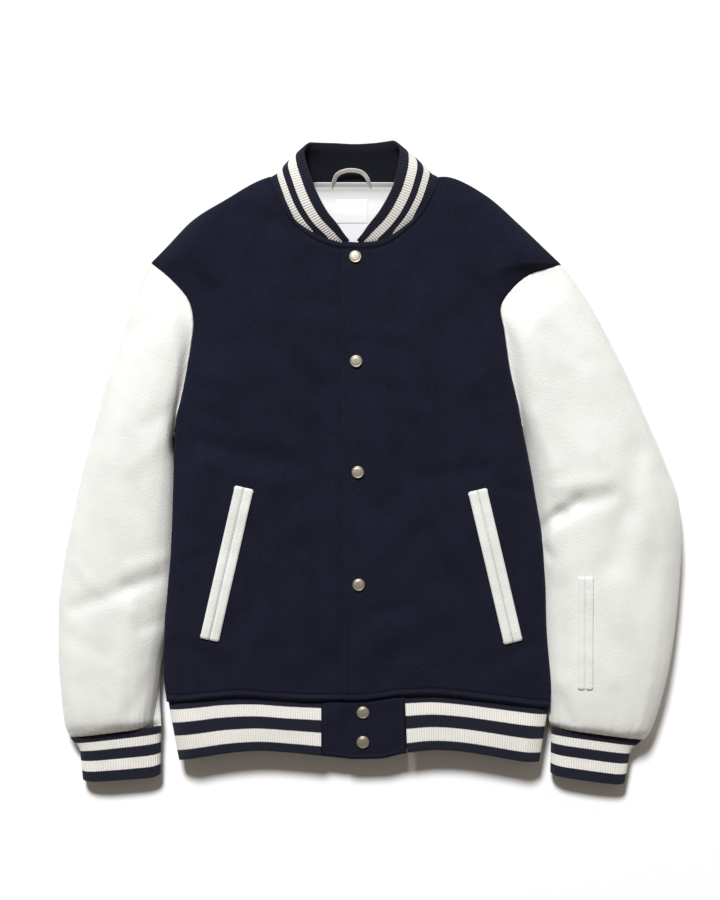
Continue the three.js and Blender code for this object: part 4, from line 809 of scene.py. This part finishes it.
def make_knit(name, depth, stripes):
    """Wool rib with knitted stripes: small V stitches on the ribs, and painted shade that darkens the colour
    down in the valleys.
    """
    knit, tree, shader = new_finish(
        name, KNIT_NAVY, Roughness=0.9, Specular_IOR_Level=0.15, Sheen_Weight=0.12, Sheen_Roughness=0.5
    )
    uv = node(tree, "UVMap", {}, uv_map="pattern").outputs[0]
    split = node(tree, "SeparateXYZ", {0: uv}).outputs
    per_rib = 2 * np.pi / (RIB_PITCH * MM)
    turns = maths(tree, "MULTIPLY", split[0], per_rib)
    crest = maths(tree, "COSINE", turns)
    uneven = node(tree, "TexNoise", {"Vector": uv, "Scale": 420.0, "Detail": 2.0}).outputs[0]
    shifted = maths(tree, "MULTIPLY_ADD", crest, 0.00028, split[1])
    edge = maths(tree, "MULTIPLY_ADD", uneven, 0.0007, shifted)
    share = node(tree, "MapRange", {0: edge, 1: 0.0, 2: depth * MM}).outputs[0]
    ramp = node(tree, "ValToRGB", {0: share})
    ramp.color_ramp.interpolation = "CONSTANT"
    ramp.color_ramp.elements[0].color = (*KNIT_NAVY, 1)
    ramp.color_ramp.elements[0].position = 0
    ramp.color_ramp.elements[1].color = (*KNIT_WHITE, 1)
    ramp.color_ramp.elements[1].position = stripes[0] / depth
    for place, colour in zip(stripes[1:], (KNIT_NAVY, KNIT_WHITE, KNIT_NAVY)):
        ramp.color_ramp.elements.new(place / depth).color = (*colour, 1)
    stitches = node(tree, "TexWave", {"Vector": uv, "Scale": 180.0, "Distortion": 1.5}, bands_direction="Y")
    # painted shade: the colour falls to 0.8 of itself down in each rib valley, where shade falls
    valley = node(tree, "MapRange", {0: crest, 1: -1.0, 2: 0.2, 3: 0.8, 4: 1.0}).outputs[0]
    yarn = node(tree, "MapRange", {0: stitches.outputs[1], 3: 0.9, 4: 1.03}).outputs[0]
    painted_valley_shade_and_yarn = maths(tree, "MULTIPLY", valley, yarn)
    shaded = node(tree, "VectorMath", {0: ramp.outputs[0], "Scale": painted_valley_shade_and_yarn}, operation="SCALE").outputs[0]
    tree.links.new(shaded, shader.inputs["Base Color"])
    fuzz = node(tree, "TexNoise", {"Vector": uv, "Scale": 1500.0, "Detail": 3.0}).outputs[0]
    height = maths(tree, "MULTIPLY_ADD", stitches.outputs[1], 0.7, fuzz)
    add_bump(tree, shader, height, 0.5, 0.0004)
    return knit


cuff_knit = make_knit("striped rib of the cuffs", CUFF_DEPTH, CUFF_STRIPES)
CUFF_ROUND = 218
cuff_ribs = round(CUFF_ROUND / RIB_PITCH)
for side in ("right", "left"):
    turn = -1 if side == "right" else 1
    form = knit_form(cuff_form(side), lambda u, v: KNIT_THICKNESS + 0 * u, CUFF_DEPTH, cuff_ribs, turn)
    pattern = knit_pattern(cuff_ribs * RIB_PITCH, CUFF_DEPTH)
    mesh = knit_mesh(f"knit_cuff_{side}", form, cuff_ribs, 40, turn, pattern, closed=True)
    cuff = dress(f"knit_cuff_{side}", mesh, cuff_knit, "rib_knit", f"cuff_{side}")
    cut(cuff, CUFF_ROUND, CUFF_DEPTH + KNIT_THICKNESS, None, "floor")

# Rib-knit hem band
# One doubled strip of the same rib, from the right wool tab round the back to the left one, sewn to the hem
# with the wool turned down over its seam. It is navy with two white stripes.
BAND_DEPTH = 63.5
BAND_STRIPES = (12, 27.5, 41.9, 55.5)
BAND_LENGTH = 860
BAND_GAP = SEAM + 0.2
BAND_TUCK = {"up": 3, "down": 3}
BAND_ENDS = {"right": -42, "left": 56}
BAND_LOWER_HEIGHT = 37.5
BAND_EDGE = table(
    "x y",
    (-210, -352), (-167, -345.5), (-123, -340), (-74, -342.5), (-41, -346), (0, -349.5), (26, -349),
    (55, -343), (98, -339), (140, -343.5), (183, -351), (213, -355),
)
BAND_UPPER_SIDES = {
    "right": table("x y z", (-221.5, -281, 30), (-214, -285, 12), (-192, -284.5, 1.5)),
    "left": table("x y z", (194, -288.5, 1.5), (217, -291, 12), (224.5, -287, 30)),
}
BAND_LOWER_SIDES = {
    "right": table("x y z", (-209, -352, 26), (-204, -351, 10), (-184, -347, 1.5)),
    "left": table("x y z", (186, -350, 1.5), (209, -354, 10), (214, -354, 26)),
}
BAND_FRONT = {
    "upper right": np.array([BAND_ENDS["right"], -80, -120, -160, -192, -211.0]),
    "upper left": np.array([214, 196, 164, 124, 90, BAND_ENDS["left"] + 0.0]),
    "lower right": np.array([BAND_ENDS["right"], -78, -114, -150, -177, -195.0]),
    "lower left": np.array([199, 181, 154, 118, 86, BAND_ENDS["left"] + 3.0]),
}
BAND_UNDER = np.array([-150, -75, 0, 75, 150.0])
band_edge_y = through(BAND_EDGE, "x", "y")


def joined(*tables):
    """One table of points out of several, end to end."""
    return {name: np.concatenate([part[name] for part in tables]) for name in ("x", "y", "z")}


def band_upper(side):
    x = BAND_FRONT[f"upper {side}"]
    return {"x": x, "y": hem_y(x) + BAND_TUCK["up"], "z": front_height(side, x, hem_y(x)) - BAND_TUCK["down"]}


def band_lower(side):
    x = BAND_FRONT[f"lower {side}"]
    return {"x": x, "y": band_edge_y(x), "z": BAND_LOWER_HEIGHT + 0 * x}


upper_under = {"x": BAND_UNDER, "y": back_hem_y(BAND_UNDER) - BAND_GAP, "z": 0 * BAND_UNDER}
lower_under = {"x": BAND_UNDER * 0.95, "y": band_edge_y(BAND_UNDER), "z": 0 * BAND_UNDER}
upper_ring = path_through(joined(
    band_upper("right"), BAND_UPPER_SIDES["right"], upper_under, BAND_UPPER_SIDES["left"], band_upper("left")
))
lower_ring = path_through(joined(
    band_lower("right"), BAND_LOWER_SIDES["right"], lower_under, BAND_LOWER_SIDES["left"], band_lower("left")
))


def band_at(around, down):
    p = mix(upper_ring(np.clip(around, 0, 1)), lower_ring(np.clip(around, 0, 1)), down[:, None])
    seen = 1 - smooth(np.minimum(around, 1 - around), 0.2, 0.25)
    middle = np.sin(np.pi * np.clip(down, 0, 1))
    p[:, 2] += seen * middle * (1.6 + 1.1 * wobble(p[:, 0], p[:, 1], 55, 1.7))
    p[:, 2] = p[:, 2].clip(0)
    return p


band_knit = make_knit("striped rib of the hem band", BAND_DEPTH, BAND_STRIPES)
band_ribs = round(BAND_LENGTH / RIB_PITCH)
form = knit_form(band_at, lambda u, v: KNIT_THICKNESS + 0 * u, BAND_DEPTH, band_ribs, 1)
mesh = knit_mesh(
    "knit_hem_band", form, band_ribs, 24, 1, knit_pattern(band_ribs * RIB_PITCH, BAND_DEPTH), closed=False
)
band = dress("knit_hem_band", mesh, band_knit, "rib_knit", "hem_rib")
cut(band, BAND_LENGTH, BAND_DEPTH, None, "floor")

# Rib-knit collar
# A doubled strip of rib that stands round the neck and rolls outwards. Its white stripes run with its rim,
# and the neck seam cuts across them, so that the collar runs out to nothing at the centre front.
COLLAR_MIDDLE = np.array([-3, 305, 60.0])
COLLAR_DEPTH = 50
COLLAR_CUT_SHARE = 0.9
COLLAR_STRIPES = (9.5, 20.5, 29.5, 39.5)
COLLAR_THICKNESS = 6
COLLAR_TUCK = {"reach": 0.16, "out": 3, "down": 2.5}
COLLAR = table(
    "sx sy sz rx ry rz bulge",
    (-12, 254.5, 47, -9, 257, 50, 0), (-24, 256, 47.5, -15, 264, 54, 0.5),
    (-43, 262.5, 48, -23, 275, 59, 1.5), (-62, 273, 49, -33, 288, 63, 3),
    (-80, 290.5, 49, -43, 306, 65, 4), (-91, 310, 47, -51, 324, 65, 4), (-98.5, 331, 40, -58, 345, 61, 5),
    (-90, 334, 25, -62, 362, 54, 6), (-66, 331, 10, -53, 374, 44, 4), (-32, 329, 4, -30, 374, 36, 3),
    (-3, 328.5, 3, -3, 373, 33, 3), (26, 329, 4, 20, 374, 36, 3), (60, 331, 10, 41, 376, 44, 4),
    (84, 334, 25, 50, 364, 54, 6), (92.5, 331, 40, 48, 346, 61, 5), (84, 310, 47, 43, 325, 65, 4),
    (69, 287, 49, 34, 305, 65, 4), (50, 270.5, 50, 24, 288, 63, 3), (31, 259, 51, 14, 275, 60, 1.5),
    (14, 255.5, 51, 6, 264, 56, 0.5), (3, 254.5, 50, 0, 257, 53, 0),
)
collar_rows = {**COLLAR, "t": np.linspace(0, 1, len(COLLAR["sx"]))}
collar_read = {name: through(collar_rows, "t", name) for name in COLLAR}


def collar_edges(t):
    return (np.stack([collar_read[edge + axis](t) for axis in "xyz"], axis=1) for edge in "sr")


collar_steps = np.linspace(0, 1, 1201)
collar_line = mix(*collar_edges(collar_steps), 0.5)
collar_lengths = length_along(collar_line)


def collar_place(u):
    """The place in the table at a share of the collar's length."""
    return np.interp(u, collar_lengths / collar_lengths[-1], collar_steps)


def collar_at(u, v):
    t = collar_place(u)
    seam, rim = collar_edges(t)
    p = mix(seam, rim, v[:, None])
    away = unit((p - COLLAR_MIDDLE) * (1, 1, 0))
    tucked = (1 - smooth(v, 0, COLLAR_TUCK["reach"])) * smooth(seam[:, 2], 20, 40)
    p += away * (collar_read["bulge"](t) * 4 * v * (1 - v) + COLLAR_TUCK["out"] * tucked)[:, None]
    p[:, 2] = (p[:, 2] - COLLAR_TUCK["down"] * tucked).clip(1.5)
    return p


def collar_thickness(u, v):
    full = mix(2, COLLAR_THICKNESS, smooth(np.minimum(u, 1 - u), 0, 0.09))
    return full * np.sqrt(1 - np.clip((v - 0.86) / 0.15, 0, 1) ** 2 * 0.7)


def collar_width(u):
    seam, rim = collar_edges(collar_place(u))
    return np.linalg.norm(rim - seam, axis=1)


def collar_pattern(u, v):
    return u * collar_length, from_fold(v, collar_width(u))


collar_knit = make_knit("striped rib of the collar", COLLAR_DEPTH, COLLAR_STRIPES)
collar_ribs = round(collar_lengths[-1] / RIB_PITCH)
collar_length = collar_ribs * RIB_PITCH
form = knit_form(collar_at, collar_thickness, 40, collar_ribs, -1)
mesh = knit_mesh("knit_collar", form, collar_ribs, 48, -1, collar_pattern, closed=False)
collar = dress("knit_collar", mesh, collar_knit, "rib_knit", "collar_rib")
cut(collar, collar_length, COLLAR_DEPTH, COLLAR_CUT_SHARE * collar_length * COLLAR_DEPTH, "wool_back")

# Hem tabs
# Two short wool pieces that end the hem band at the centre front, each doubled and turned under, the left
# one over the right one with two snaps through them. Their edges are soft and topstitched.
TAB_THICKNESS = 2.6
TAB_CUT = {"right": (67, 68), "left": (76, 68)}
TAB_DROP = 7
TABS = {
    "right": {"from": -41.7, "to": 22, "lower_from": -42, "lower_to": 20, "lift": 0},
    "left": {"from": -14, "to": 55.7, "lower_from": -12, "lower_to": 58, "lift": 3.4},
}


def tab_height(side, x, down):
    seam_z = front_height("left", x, hem_y(x) + HEM_LIP["reach"]) - HEM_LIP["height"]
    return seam_z - OVERLAP_DROP + TABS[side]["lift"] - TAB_DROP * down**1.4


def tab_form(side):
    tab = TABS[side]

    def form(u, v):
        x = mix(mix(tab["from"], tab["to"], u), mix(tab["lower_from"], tab["lower_to"], u), v)
        y = mix(hem_y(x) - BAND_GAP, band_edge_y(x), v)
        width = tab["to"] - tab["from"]
        from_end = np.minimum(u, 1 - u) * width
        from_lower = (1 - v) * BAND_DEPTH
        from_seam = v * BAND_DEPTH
        near = np.minimum(from_end, from_lower)
        z = tab_height(side, x, v) + ridge(near, 0, 1.6, -1.5) + ridge(near, 5, 0.9, -0.7)
        z += ridge(from_seam, 0, 1.4, -1.2) + 0.5 * wobble(x, y, 30, 0.5)
        return np.stack([x, y, z], axis=1)

    return form


for side in ("right", "left"):
    mesh = sheet_mesh(f"wool_tab_{side}", 44, 44, tab_form(side), -1)
    tab = dress(f"wool_tab_{side}", mesh, wool, "wool", f"hem_tab_{side}")
    give_wall(tab, TAB_THICKNESS)
    cut(tab, *TAB_CUT[side], None, "knit_hem_band")

# Pocket welts
# Each slit pocket is edged by two folded leather lips that meet over its opening, sewn in as one long
# rectangle with soft corners. The small pocket on the left sleeve is made the same way, in narrower lips.
LIP_GAP = 0.85
POCKETS = {
    "right": {"start": (-131, -31), "end": (-172, -208), "lip": 10.2, "lift": 0.2, "height": 2.4},
    "left": {"start": (140, -34), "end": (182, -211), "lip": 10.2, "lift": 0, "height": 2.4},
    "sleeve": {"start": (266, -135), "end": (266, -266), "lip": 8.2, "lift": 0, "height": 1.5},
}
CORNER = 2


def sleeve_surface(x, y):
    """Height of the left top sleeve at places seen from above, read off its own form."""
    steps = np.linspace(0, 1, 241)
    across, down = (grid.ravel() for grid in np.meshgrid(steps, steps))
    points = sleeve_form("left", False)(across, down)
    heights = np.zeros_like(x)
    for i, (px, py) in enumerate(zip(x, y)):
        far = np.hypot(points[:, 0] - px, points[:, 1] - py)
        near = np.argsort(far)[:4]
        weight = 1 / (far[near] + 0.05)
        heights[i] = (points[near, 2] * weight).sum() / weight.sum()
    return heights


def lip_form(pocket, inwards, height_at):
    start, end = np.array(pocket["start"], float), np.array(pocket["end"], float)
    length = np.linalg.norm(end - start)
    along = (end - start) / length
    sideways = np.array([along[1], -along[0]]) * (-1 if inwards else 1)
    lip = pocket["lip"]
    base_v = np.linspace(0, 1, 40)
    middle = start[:, None] + along[:, None] * base_v * length
    base = [height_at(*(middle + sideways[:, None] * (LIP_GAP / 2 + lip * u))) for u in (0.0, 1.0)]

    def form(u, v):
        across = lip * u
        rounding = CORNER * np.clip((across - lip + CORNER) / CORNER, 0, 1) ** 2.2
        down = mix(rounding, length - rounding, v)
        place = start + along * down[:, None] + sideways * (LIP_GAP / 2 + across)[:, None]
        cloth = mix(np.interp(down / length, base_v, base[0]), np.interp(down / length, base_v, base[1]), u)
        slit, outer = lip * u, lip * (1 - u)
        ends = np.minimum(v, 1 - v) * length
        pillow = 1 + ridge(slit, 0, 1.3, -0.85) + ridge(outer, 0, 0.9, -0.5) + ridge(ends, 0, 1.2, -0.5)
        uneven = 0.12 * np.sin(down / 4.3 + 1.3 * np.sin(down / 17))
        z = cloth + pocket["lift"] + pocket["height"] * pillow + uneven
        return np.stack([place[:, 0], place[:, 1], z], axis=1)

    return form


def front_surface(side):
    return lambda x, y: front_height(side, x, y) + wool_creases(x, y)


for place, pocket in POCKETS.items():
    on_sleeve = place == "sleeve"
    height_at = sleeve_surface if on_sleeve else front_surface(place)
    for lip, inwards in (("outer", False), ("inner", True)):
        form = lip_form(pocket, inwards, height_at)
        node_name = f"sleeve_pocket_welt_{lip}" if on_sleeve else f"pocket_welt_{place}_{lip}"
        mesh = sheet_mesh(f"leather_{node_name}", 14, 90, form, 1 if inwards else -1)
        welt = dress(f"leather_{node_name}", mesh, leather, "leather", node_name)
        give_wall(welt, pocket["height"] / 2)

# Topstitching
# Lines of thick navy thread hold down the turned edges: along the front edge, over the hem seam, round the
# neck and round the tabs. The welts are edged in off-white thread.
STITCH = {"pitch": 3.4, "length": 2.7, "width": 0.55}
STITCH_FROM = {"edge": 4.8, "hem": 8.6, "neck": 7.2, "tab": 5, "welt": 1.4}
THREAD_NAVY = (0.012, 0.013, 0.028)
THREAD_WHITE = (0.76, 0.75, 0.69)


def along_edge(form, edge, inset, first=0.0, last=1.0, near=0.03):
    """Points of a line on a piece's form, from a share of its edge to another, at an even inset from it."""
    along = np.linspace(first, last, 240)
    reach = {
        "start": lambda depth: form(depth, along), "end": lambda depth: form(1 - depth, along),
        "bottom": lambda depth: form(along, depth), "top": lambda depth: form(along, 1 - depth),
    }[edge]
    at_edge, further = reach(0 * along), reach(0 * along + near)
    return reach(near * inset / np.linalg.norm((further - at_edge)[:, :2], axis=1))


def sew(name, material, slot, *lines):
    """One mesh with a small rounded stitch at each pitch of the given lines."""
    bm = bmesh.new()
    bmesh.ops.create_icosphere(bm, subdivisions=1, radius=0.5)
    one = np.array([vert.co[:] for vert in bm.verts])
    faces = np.array([[vert.index for vert in face.verts] for face in bm.faces])
    bm.free()
    one = one * (STITCH["length"], STITCH["width"], STITCH["width"])
    verts = []
    for line in lines:
        length = length_along(line)
        places = np.arange(STITCH["pitch"] / 2, length[-1], STITCH["pitch"])
        middle, ahead = (read_line(places + step, length, line) for step in (0, 0.5))
        along = ahead - middle
        along /= np.linalg.norm(along, axis=1)[:, None] + 1e-9
        across = np.cross((0, 0, 1), along)
        up = np.cross(along, across)
        frames = np.stack([along, across, up], axis=1)
        verts.append((middle[:, None] + one @ frames + (0, 0, STITCH["width"] * 0.1)).reshape(-1, 3))
    verts = np.concatenate(verts)
    steps = np.arange(0, len(verts), len(one))
    mesh = bpy.data.meshes.new(name)
    mesh.from_pydata(verts * MM, [], (steps[:, None, None] + faces).reshape(-1, 3))
    dress(name, mesh, material, slot)


def make_thread(name, colour):
    """Twisted polyester thread, a little shiny, its twist shown as a fine slant of light and dark."""
    thread, tree, shader = new_finish(name, colour, Roughness=0.55, Sheen_Weight=0.05)
    place = node(tree, "TexCoord", {}).outputs["Object"]
    twist = node(tree, "TexWave", {"Vector": place, "Scale": 700.0}, bands_direction="DIAGONAL").outputs[1]
    dark = tuple(0.75 * c for c in colour)
    tree.links.new(colour_between(tree, dark, colour, twist), shader.inputs["Base Color"])
    return thread


navy_thread = make_thread("navy thread", THREAD_NAVY)
white_thread = make_thread("off-white thread", THREAD_WHITE)
for side in ("right", "left"):
    form = front_form(side)
    lines = [
        along_edge(form, "bottom", STITCH_FROM["hem"], 0.01, 0.99),
        along_edge(form, "top", STITCH_FROM["neck"], 0.02, NECK_SHARE - 0.03),
    ]
    if side == "left":
        lines.append(along_edge(form, "start", STITCH_FROM["edge"], 0.02, 0.985))
    sew(f"topstitching_front_{side}", navy_thread, "wool", *lines)
    form = tab_form(side)
    lines = [along_edge(form, edge, STITCH_FROM["tab"], 0.08, 0.92, 0.1) for edge in ("start", "end", "top")]
    sew(f"topstitching_tab_{side}", navy_thread, "wool", *lines)
for place, pocket in POCKETS.items():
    height_at = sleeve_surface if place == "sleeve" else front_surface(place)
    lines = [
        along_edge(lip_form(pocket, inwards, height_at), "end", STITCH_FROM["welt"], 0.02, 0.98, 0.2)
        for inwards in (False, True)
    ]
    sew(f"topstitching_welts_{place}", white_thread, "leather", *lines)

# Snaps
# Six capped press snaps, four down the front edge and two through the hem tabs: a low silvery dome rolled
# over its rim, with a fine ring turned in its face.
SNAP_DIAMETER = 15
SNAP_HEIGHT = 2.9
SNAP_LIFT = 0.45
SNAP_PROFILE = table(
    "r z",
    (0, 0.93), (0.35, 0.925), (0.6, 0.9), (0.67, 0.86), (0.7, 0.79), (0.74, 0.79), (0.78, 0.86),
    (0.86, 0.82), (0.93, 0.68), (0.98, 0.48), (1, 0.3), (0.99, 0.1), (0.95, 0), (0.6, 0), (0, 0),
)
SNAPS = table("x y tab", (-2, 238, 0), (-1, 116, 0), (1, -13, 0), (2, -144, 0), (7, -294, 1), (7, -329, 1))


def wool_height(x, y, on_tab):
    """Height of the wool under a place on a snap, on the left tab or on the left front."""
    x, y = np.array([x]), np.array([y])
    if on_tab:
        return tab_height("left", x, (hem_y(x) - y) / (hem_y(x) - band_edge_y(x)))[0]
    return front_height("left", x, y)[0]


def make_snap_metal(name):
    """Plated brass, satin and a little warm, with fine rubbing marks."""
    metal, tree, shader = new_finish(name, (0.5, 0.45, 0.36), Metallic=0.85, Roughness=0.38)
    place = node(tree, "TexCoord", {}).outputs["Object"]
    scuffs = {"Vector": place, "Scale": 900.0, "Detail": 4.0, "Roughness": 0.7}
    rubbed = node(tree, "TexNoise", scuffs).outputs[0]
    rough = node(tree, "MapRange", {0: rubbed, 1: 0.3, 2: 0.7, 3: 0.36, 4: 0.55}).outputs[0]
    tree.links.new(rough, shader.inputs["Roughness"])
    tone = node(tree, "MapRange", {0: rubbed, 1: 0.3, 2: 0.7}).outputs[0]
    colour = colour_between(tree, (0.36, 0.325, 0.25), (0.5, 0.455, 0.37), tone)
    tree.links.new(colour, shader.inputs["Base Color"])
    add_bump(tree, shader, rubbed, 0.12, 0.0002)
    return metal


snap_metal = make_snap_metal("satin snap metal")
radius = SNAP_DIAMETER / 2
for i, (x, y, on_tab) in enumerate(zip(SNAPS["x"], SNAPS["y"], SNAPS["tab"])):
    right, left = (wool_height(x + step, y, on_tab) for step in (radius, -radius))
    above, below = (wool_height(x, y + step, on_tab) for step in (radius, -radius))
    middle = wool_height(x, y, on_tab)
    bm = bmesh.new()
    ring = [
        bm.verts.new((r * radius, 0, z * SNAP_HEIGHT)) for r, z in zip(SNAP_PROFILE["r"], SNAP_PROFILE["z"])
    ]
    line = [bm.edges.new(pair) for pair in zip(ring, ring[1:])]
    bmesh.ops.spin(
        bm, geom=ring + line, cent=(0, 0, 0), axis=(0, 0, 1), angle=2 * np.pi, steps=64, use_merge=True
    )
    bmesh.ops.remove_doubles(bm, verts=bm.verts, dist=1e-5)
    bmesh.ops.recalc_face_normals(bm, faces=bm.faces)
    for vert in bm.verts:
        tilt = ((right - left) * vert.co.x + (above - below) * vert.co.y) / SNAP_DIAMETER
        vert.co.z = (vert.co.z + middle + SNAP_LIFT + tilt) * MM
        vert.co.x = (vert.co.x + x) * MM
        vert.co.y = (vert.co.y + y) * MM
    mesh = bpy.data.meshes.new(f"snap_cap_{i + 1}")
    bm.to_mesh(mesh)
    bm.free()
    dress(f"snap_cap_{i + 1}", mesh, snap_metal, "snap_metal", f"snap_{i + 1}")

# Lining at the back neck
# A smooth white lining that shows inside the collar, with a plain cloth patch sewn on it where a size label
# sits, and left blank.
LINING_THICKNESS = 1
LABEL_THICKNESS = 0.4
LINING_CUT = (134, 92, 11500)
LINING = table(
    "y left right z",
    (239, -58, 52, 4.2), (262, -68, 62, 6.5), (288, -70, 64, 6.5), (308, -66, 60, 5), (317, -63, 57, 6.4),
    (324, -60, 54, 9.6), (328.5, -58, 52, 12.6),
)
LABEL = {"left": -25, "right": 13, "top": 309, "bottom": 281}
LINING_COLOUR = (0.86, 0.86, 0.84)
lining_left, lining_right, lining_z = (through(LINING, "y", name) for name in ("left", "right", "z"))


def lining_form(u, v):
    y = mix(LINING["y"][0], LINING["y"][-1], v)
    x = mix(lining_left(y), lining_right(y), u)
    over_back = back_height(x, y) + WOOL_THICKNESS + SEAM + LINING_THICKNESS + 0.9
    z = np.maximum(lining_z(y), over_back) + 0.35 * wobble(x, y, 28, 1.1) * smooth(LINING["y"][-1] - y, 0, 8)
    return np.stack([x, y, z + ridge(LINING["y"][-1] - y, 5, 0.9, -0.5)], axis=1)


def label_form(u, v):
    y = mix(LABEL["bottom"], LABEL["top"], v)
    x = mix(LABEL["left"], LABEL["right"], u)
    from_side = np.minimum(x - LABEL["left"], LABEL["right"] - x)
    from_edge = np.minimum(from_side, np.minimum(y - LABEL["bottom"], LABEL["top"] - y))
    z = lining_z(y) + 0.55 + ridge(from_edge, 0, 0.8, -0.3)
    return np.stack([x, y, z], axis=1)


def make_lining(name, colour, thread):
    """Plain woven cloth: two crossed sets of fine threads, thread being their spacing in millimetres."""
    cloth, tree, shader = new_finish(name, colour, Roughness=0.6, Specular_IOR_Level=0.3, Sheen_Weight=0.1)
    place = node(tree, "TexCoord", {}).outputs["Object"]
    scale = 1 / (thread * MM * 6.28)
    warp = node(tree, "TexWave", {"Vector": place, "Scale": scale}, bands_direction="X").outputs[1]
    weft = node(tree, "TexWave", {"Vector": place, "Scale": scale}, bands_direction="Y").outputs[1]
    weave = maths(tree, "MAXIMUM", warp, weft)
    add_bump(tree, shader, weave, 0.3, 0.0002)
    clouds = node(tree, "TexNoise", {"Vector": place, "Scale": 60.0, "Detail": 3.0}).outputs[0]
    colour = colour_between(tree, tuple(0.94 * c for c in colour), colour, clouds)
    tree.links.new(colour, shader.inputs["Base Color"])
    return cloth


lining_cloth = make_lining("white lining", LINING_COLOUR, 0.5)
mesh = sheet_mesh("neck_lining_cloth", 60, 50, lining_form, 1)
lining = give_wall(dress("neck_lining_cloth", mesh, lining_cloth, "lining", "neck_lining"), LINING_THICKNESS)
mesh = sheet_mesh("label_cloth", 30, 24, label_form, 1)
label_cloth = make_lining("blank label", (0.88, 0.88, 0.87), 0.7)
label = give_wall(dress("label_cloth", mesh, label_cloth, "lining", "label_patch"), LABEL_THICKNESS)
cut(lining, *LINING_CUT, "wool_back")
cut(label, LABEL["right"] - LABEL["left"], LABEL["top"] - LABEL["bottom"], None, "neck_lining_cloth")

# Hanger loop
# A loop of cream woven tape, sewn into the back neck seam at both ends and standing up a little between
# them.
LOOP_WIDTH = 5.4
LOOP_THICKNESS = 1
LOOP_TILT = 0.75
LOOP = table(
    "x y z",
    (-27.5, 318, 3.5), (-27.2, 328.5, 13.8), (-23, 337, 20), (-14, 341, 22.5), (-3, 341.5, 22.5),
    (6, 339, 20.5), (12.5, 331.5, 16.5), (14.5, 318, 3.5),
)
loop_path = path_through(LOOP)


def loop_form(u, v):
    along = unit((loop_path(np.minimum(v + 0.01, 1)) - loop_path(np.maximum(v - 0.01, 0))) * (1, 1, 0))
    sideways = unit(np.stack([along[:, 1], -along[:, 0], 0 * v - LOOP_TILT], axis=1))
    return loop_path(v) + sideways * ((u - 0.5) * LOOP_WIDTH)[:, None]


tape = make_lining("cream tape", (0.88, 0.85, 0.74), 0.8)
mesh = sheet_mesh("hanger_loop_tape", 12, 90, loop_form, 1, crowding=0)
give_wall(dress("hanger_loop_tape", mesh, tape, "tape", "hanger_loop"), LOOP_THICKNESS)

# Room, light and camera
# The jacket lies on a plain white surface and is seen from straight above. A soft lamp beyond the collar
# gives the shading and the shadows below hem and cuffs.
VIEW_HEIGHT = 3.0
VIEW_CENTRE = (3.5, 12.9)
VIEW_SPAN = 1053
CLOTH_PLANE = 40
LAMP_COLOUR = (0.985, 1, 1.03)
LAMP_PLACE = (-2.1, 8.6, 10.6)
LAMP_SIZE = 3
LAMP_POWER = 2360
ROOM_COLOUR = (1, 0.87, 0.75, 1)
ROOM_STRENGTH = 0.185
FLOOR_SIZE = 30
FLOOR_DROP = 0.0004
FLOOR_COLOUR = (0.96, 0.96, 0.955)
floor_bm = bmesh.new()
bmesh.ops.create_grid(floor_bm, x_segments=1, y_segments=1, size=FLOOR_SIZE)
floor_mesh = bpy.data.meshes.new("floor")
floor_bm.to_mesh(floor_mesh)
floor_bm.free()
floor = bpy.data.objects.new("floor", floor_mesh)
floor.location.z = -FLOOR_DROP
bpy.context.scene.collection.objects.link(floor)
floor_mesh.materials.append(new_finish("white surface", FLOOR_COLOUR, Roughness=0.9)[0])

world = bpy.data.worlds.new("studio")
world.use_nodes = True
world.node_tree.nodes["Background"].inputs["Color"].default_value = ROOM_COLOUR
world.node_tree.nodes["Background"].inputs["Strength"].default_value = ROOM_STRENGTH
bpy.context.scene.world = world
bpy.context.scene.view_settings.view_transform = "Standard"
lamp = bpy.data.lights.new("key lamp", "AREA")
lamp.shape = "DISK"
lamp.size = LAMP_SIZE
lamp.energy = LAMP_POWER
lamp.color = LAMP_COLOUR
holder = bpy.data.objects.new("key lamp", lamp)
holder.location = LAMP_PLACE
holder.rotation_euler = (-Vector(LAMP_PLACE)).to_track_quat("-Z", "Y").to_euler()
bpy.context.scene.collection.objects.link(holder)

camera = bpy.data.cameras.new("camera")
camera.sensor_width = 36
camera.lens = camera.sensor_width * (VIEW_HEIGHT - CLOTH_PLANE * MM) / (VIEW_SPAN * MM)
eye = bpy.data.objects.new("camera", camera)
eye.location = (VIEW_CENTRE[0] * MM, VIEW_CENTRE[1] * MM, VIEW_HEIGHT)
bpy.context.scene.collection.objects.link(eye)
bpy.context.scene.camera = eye
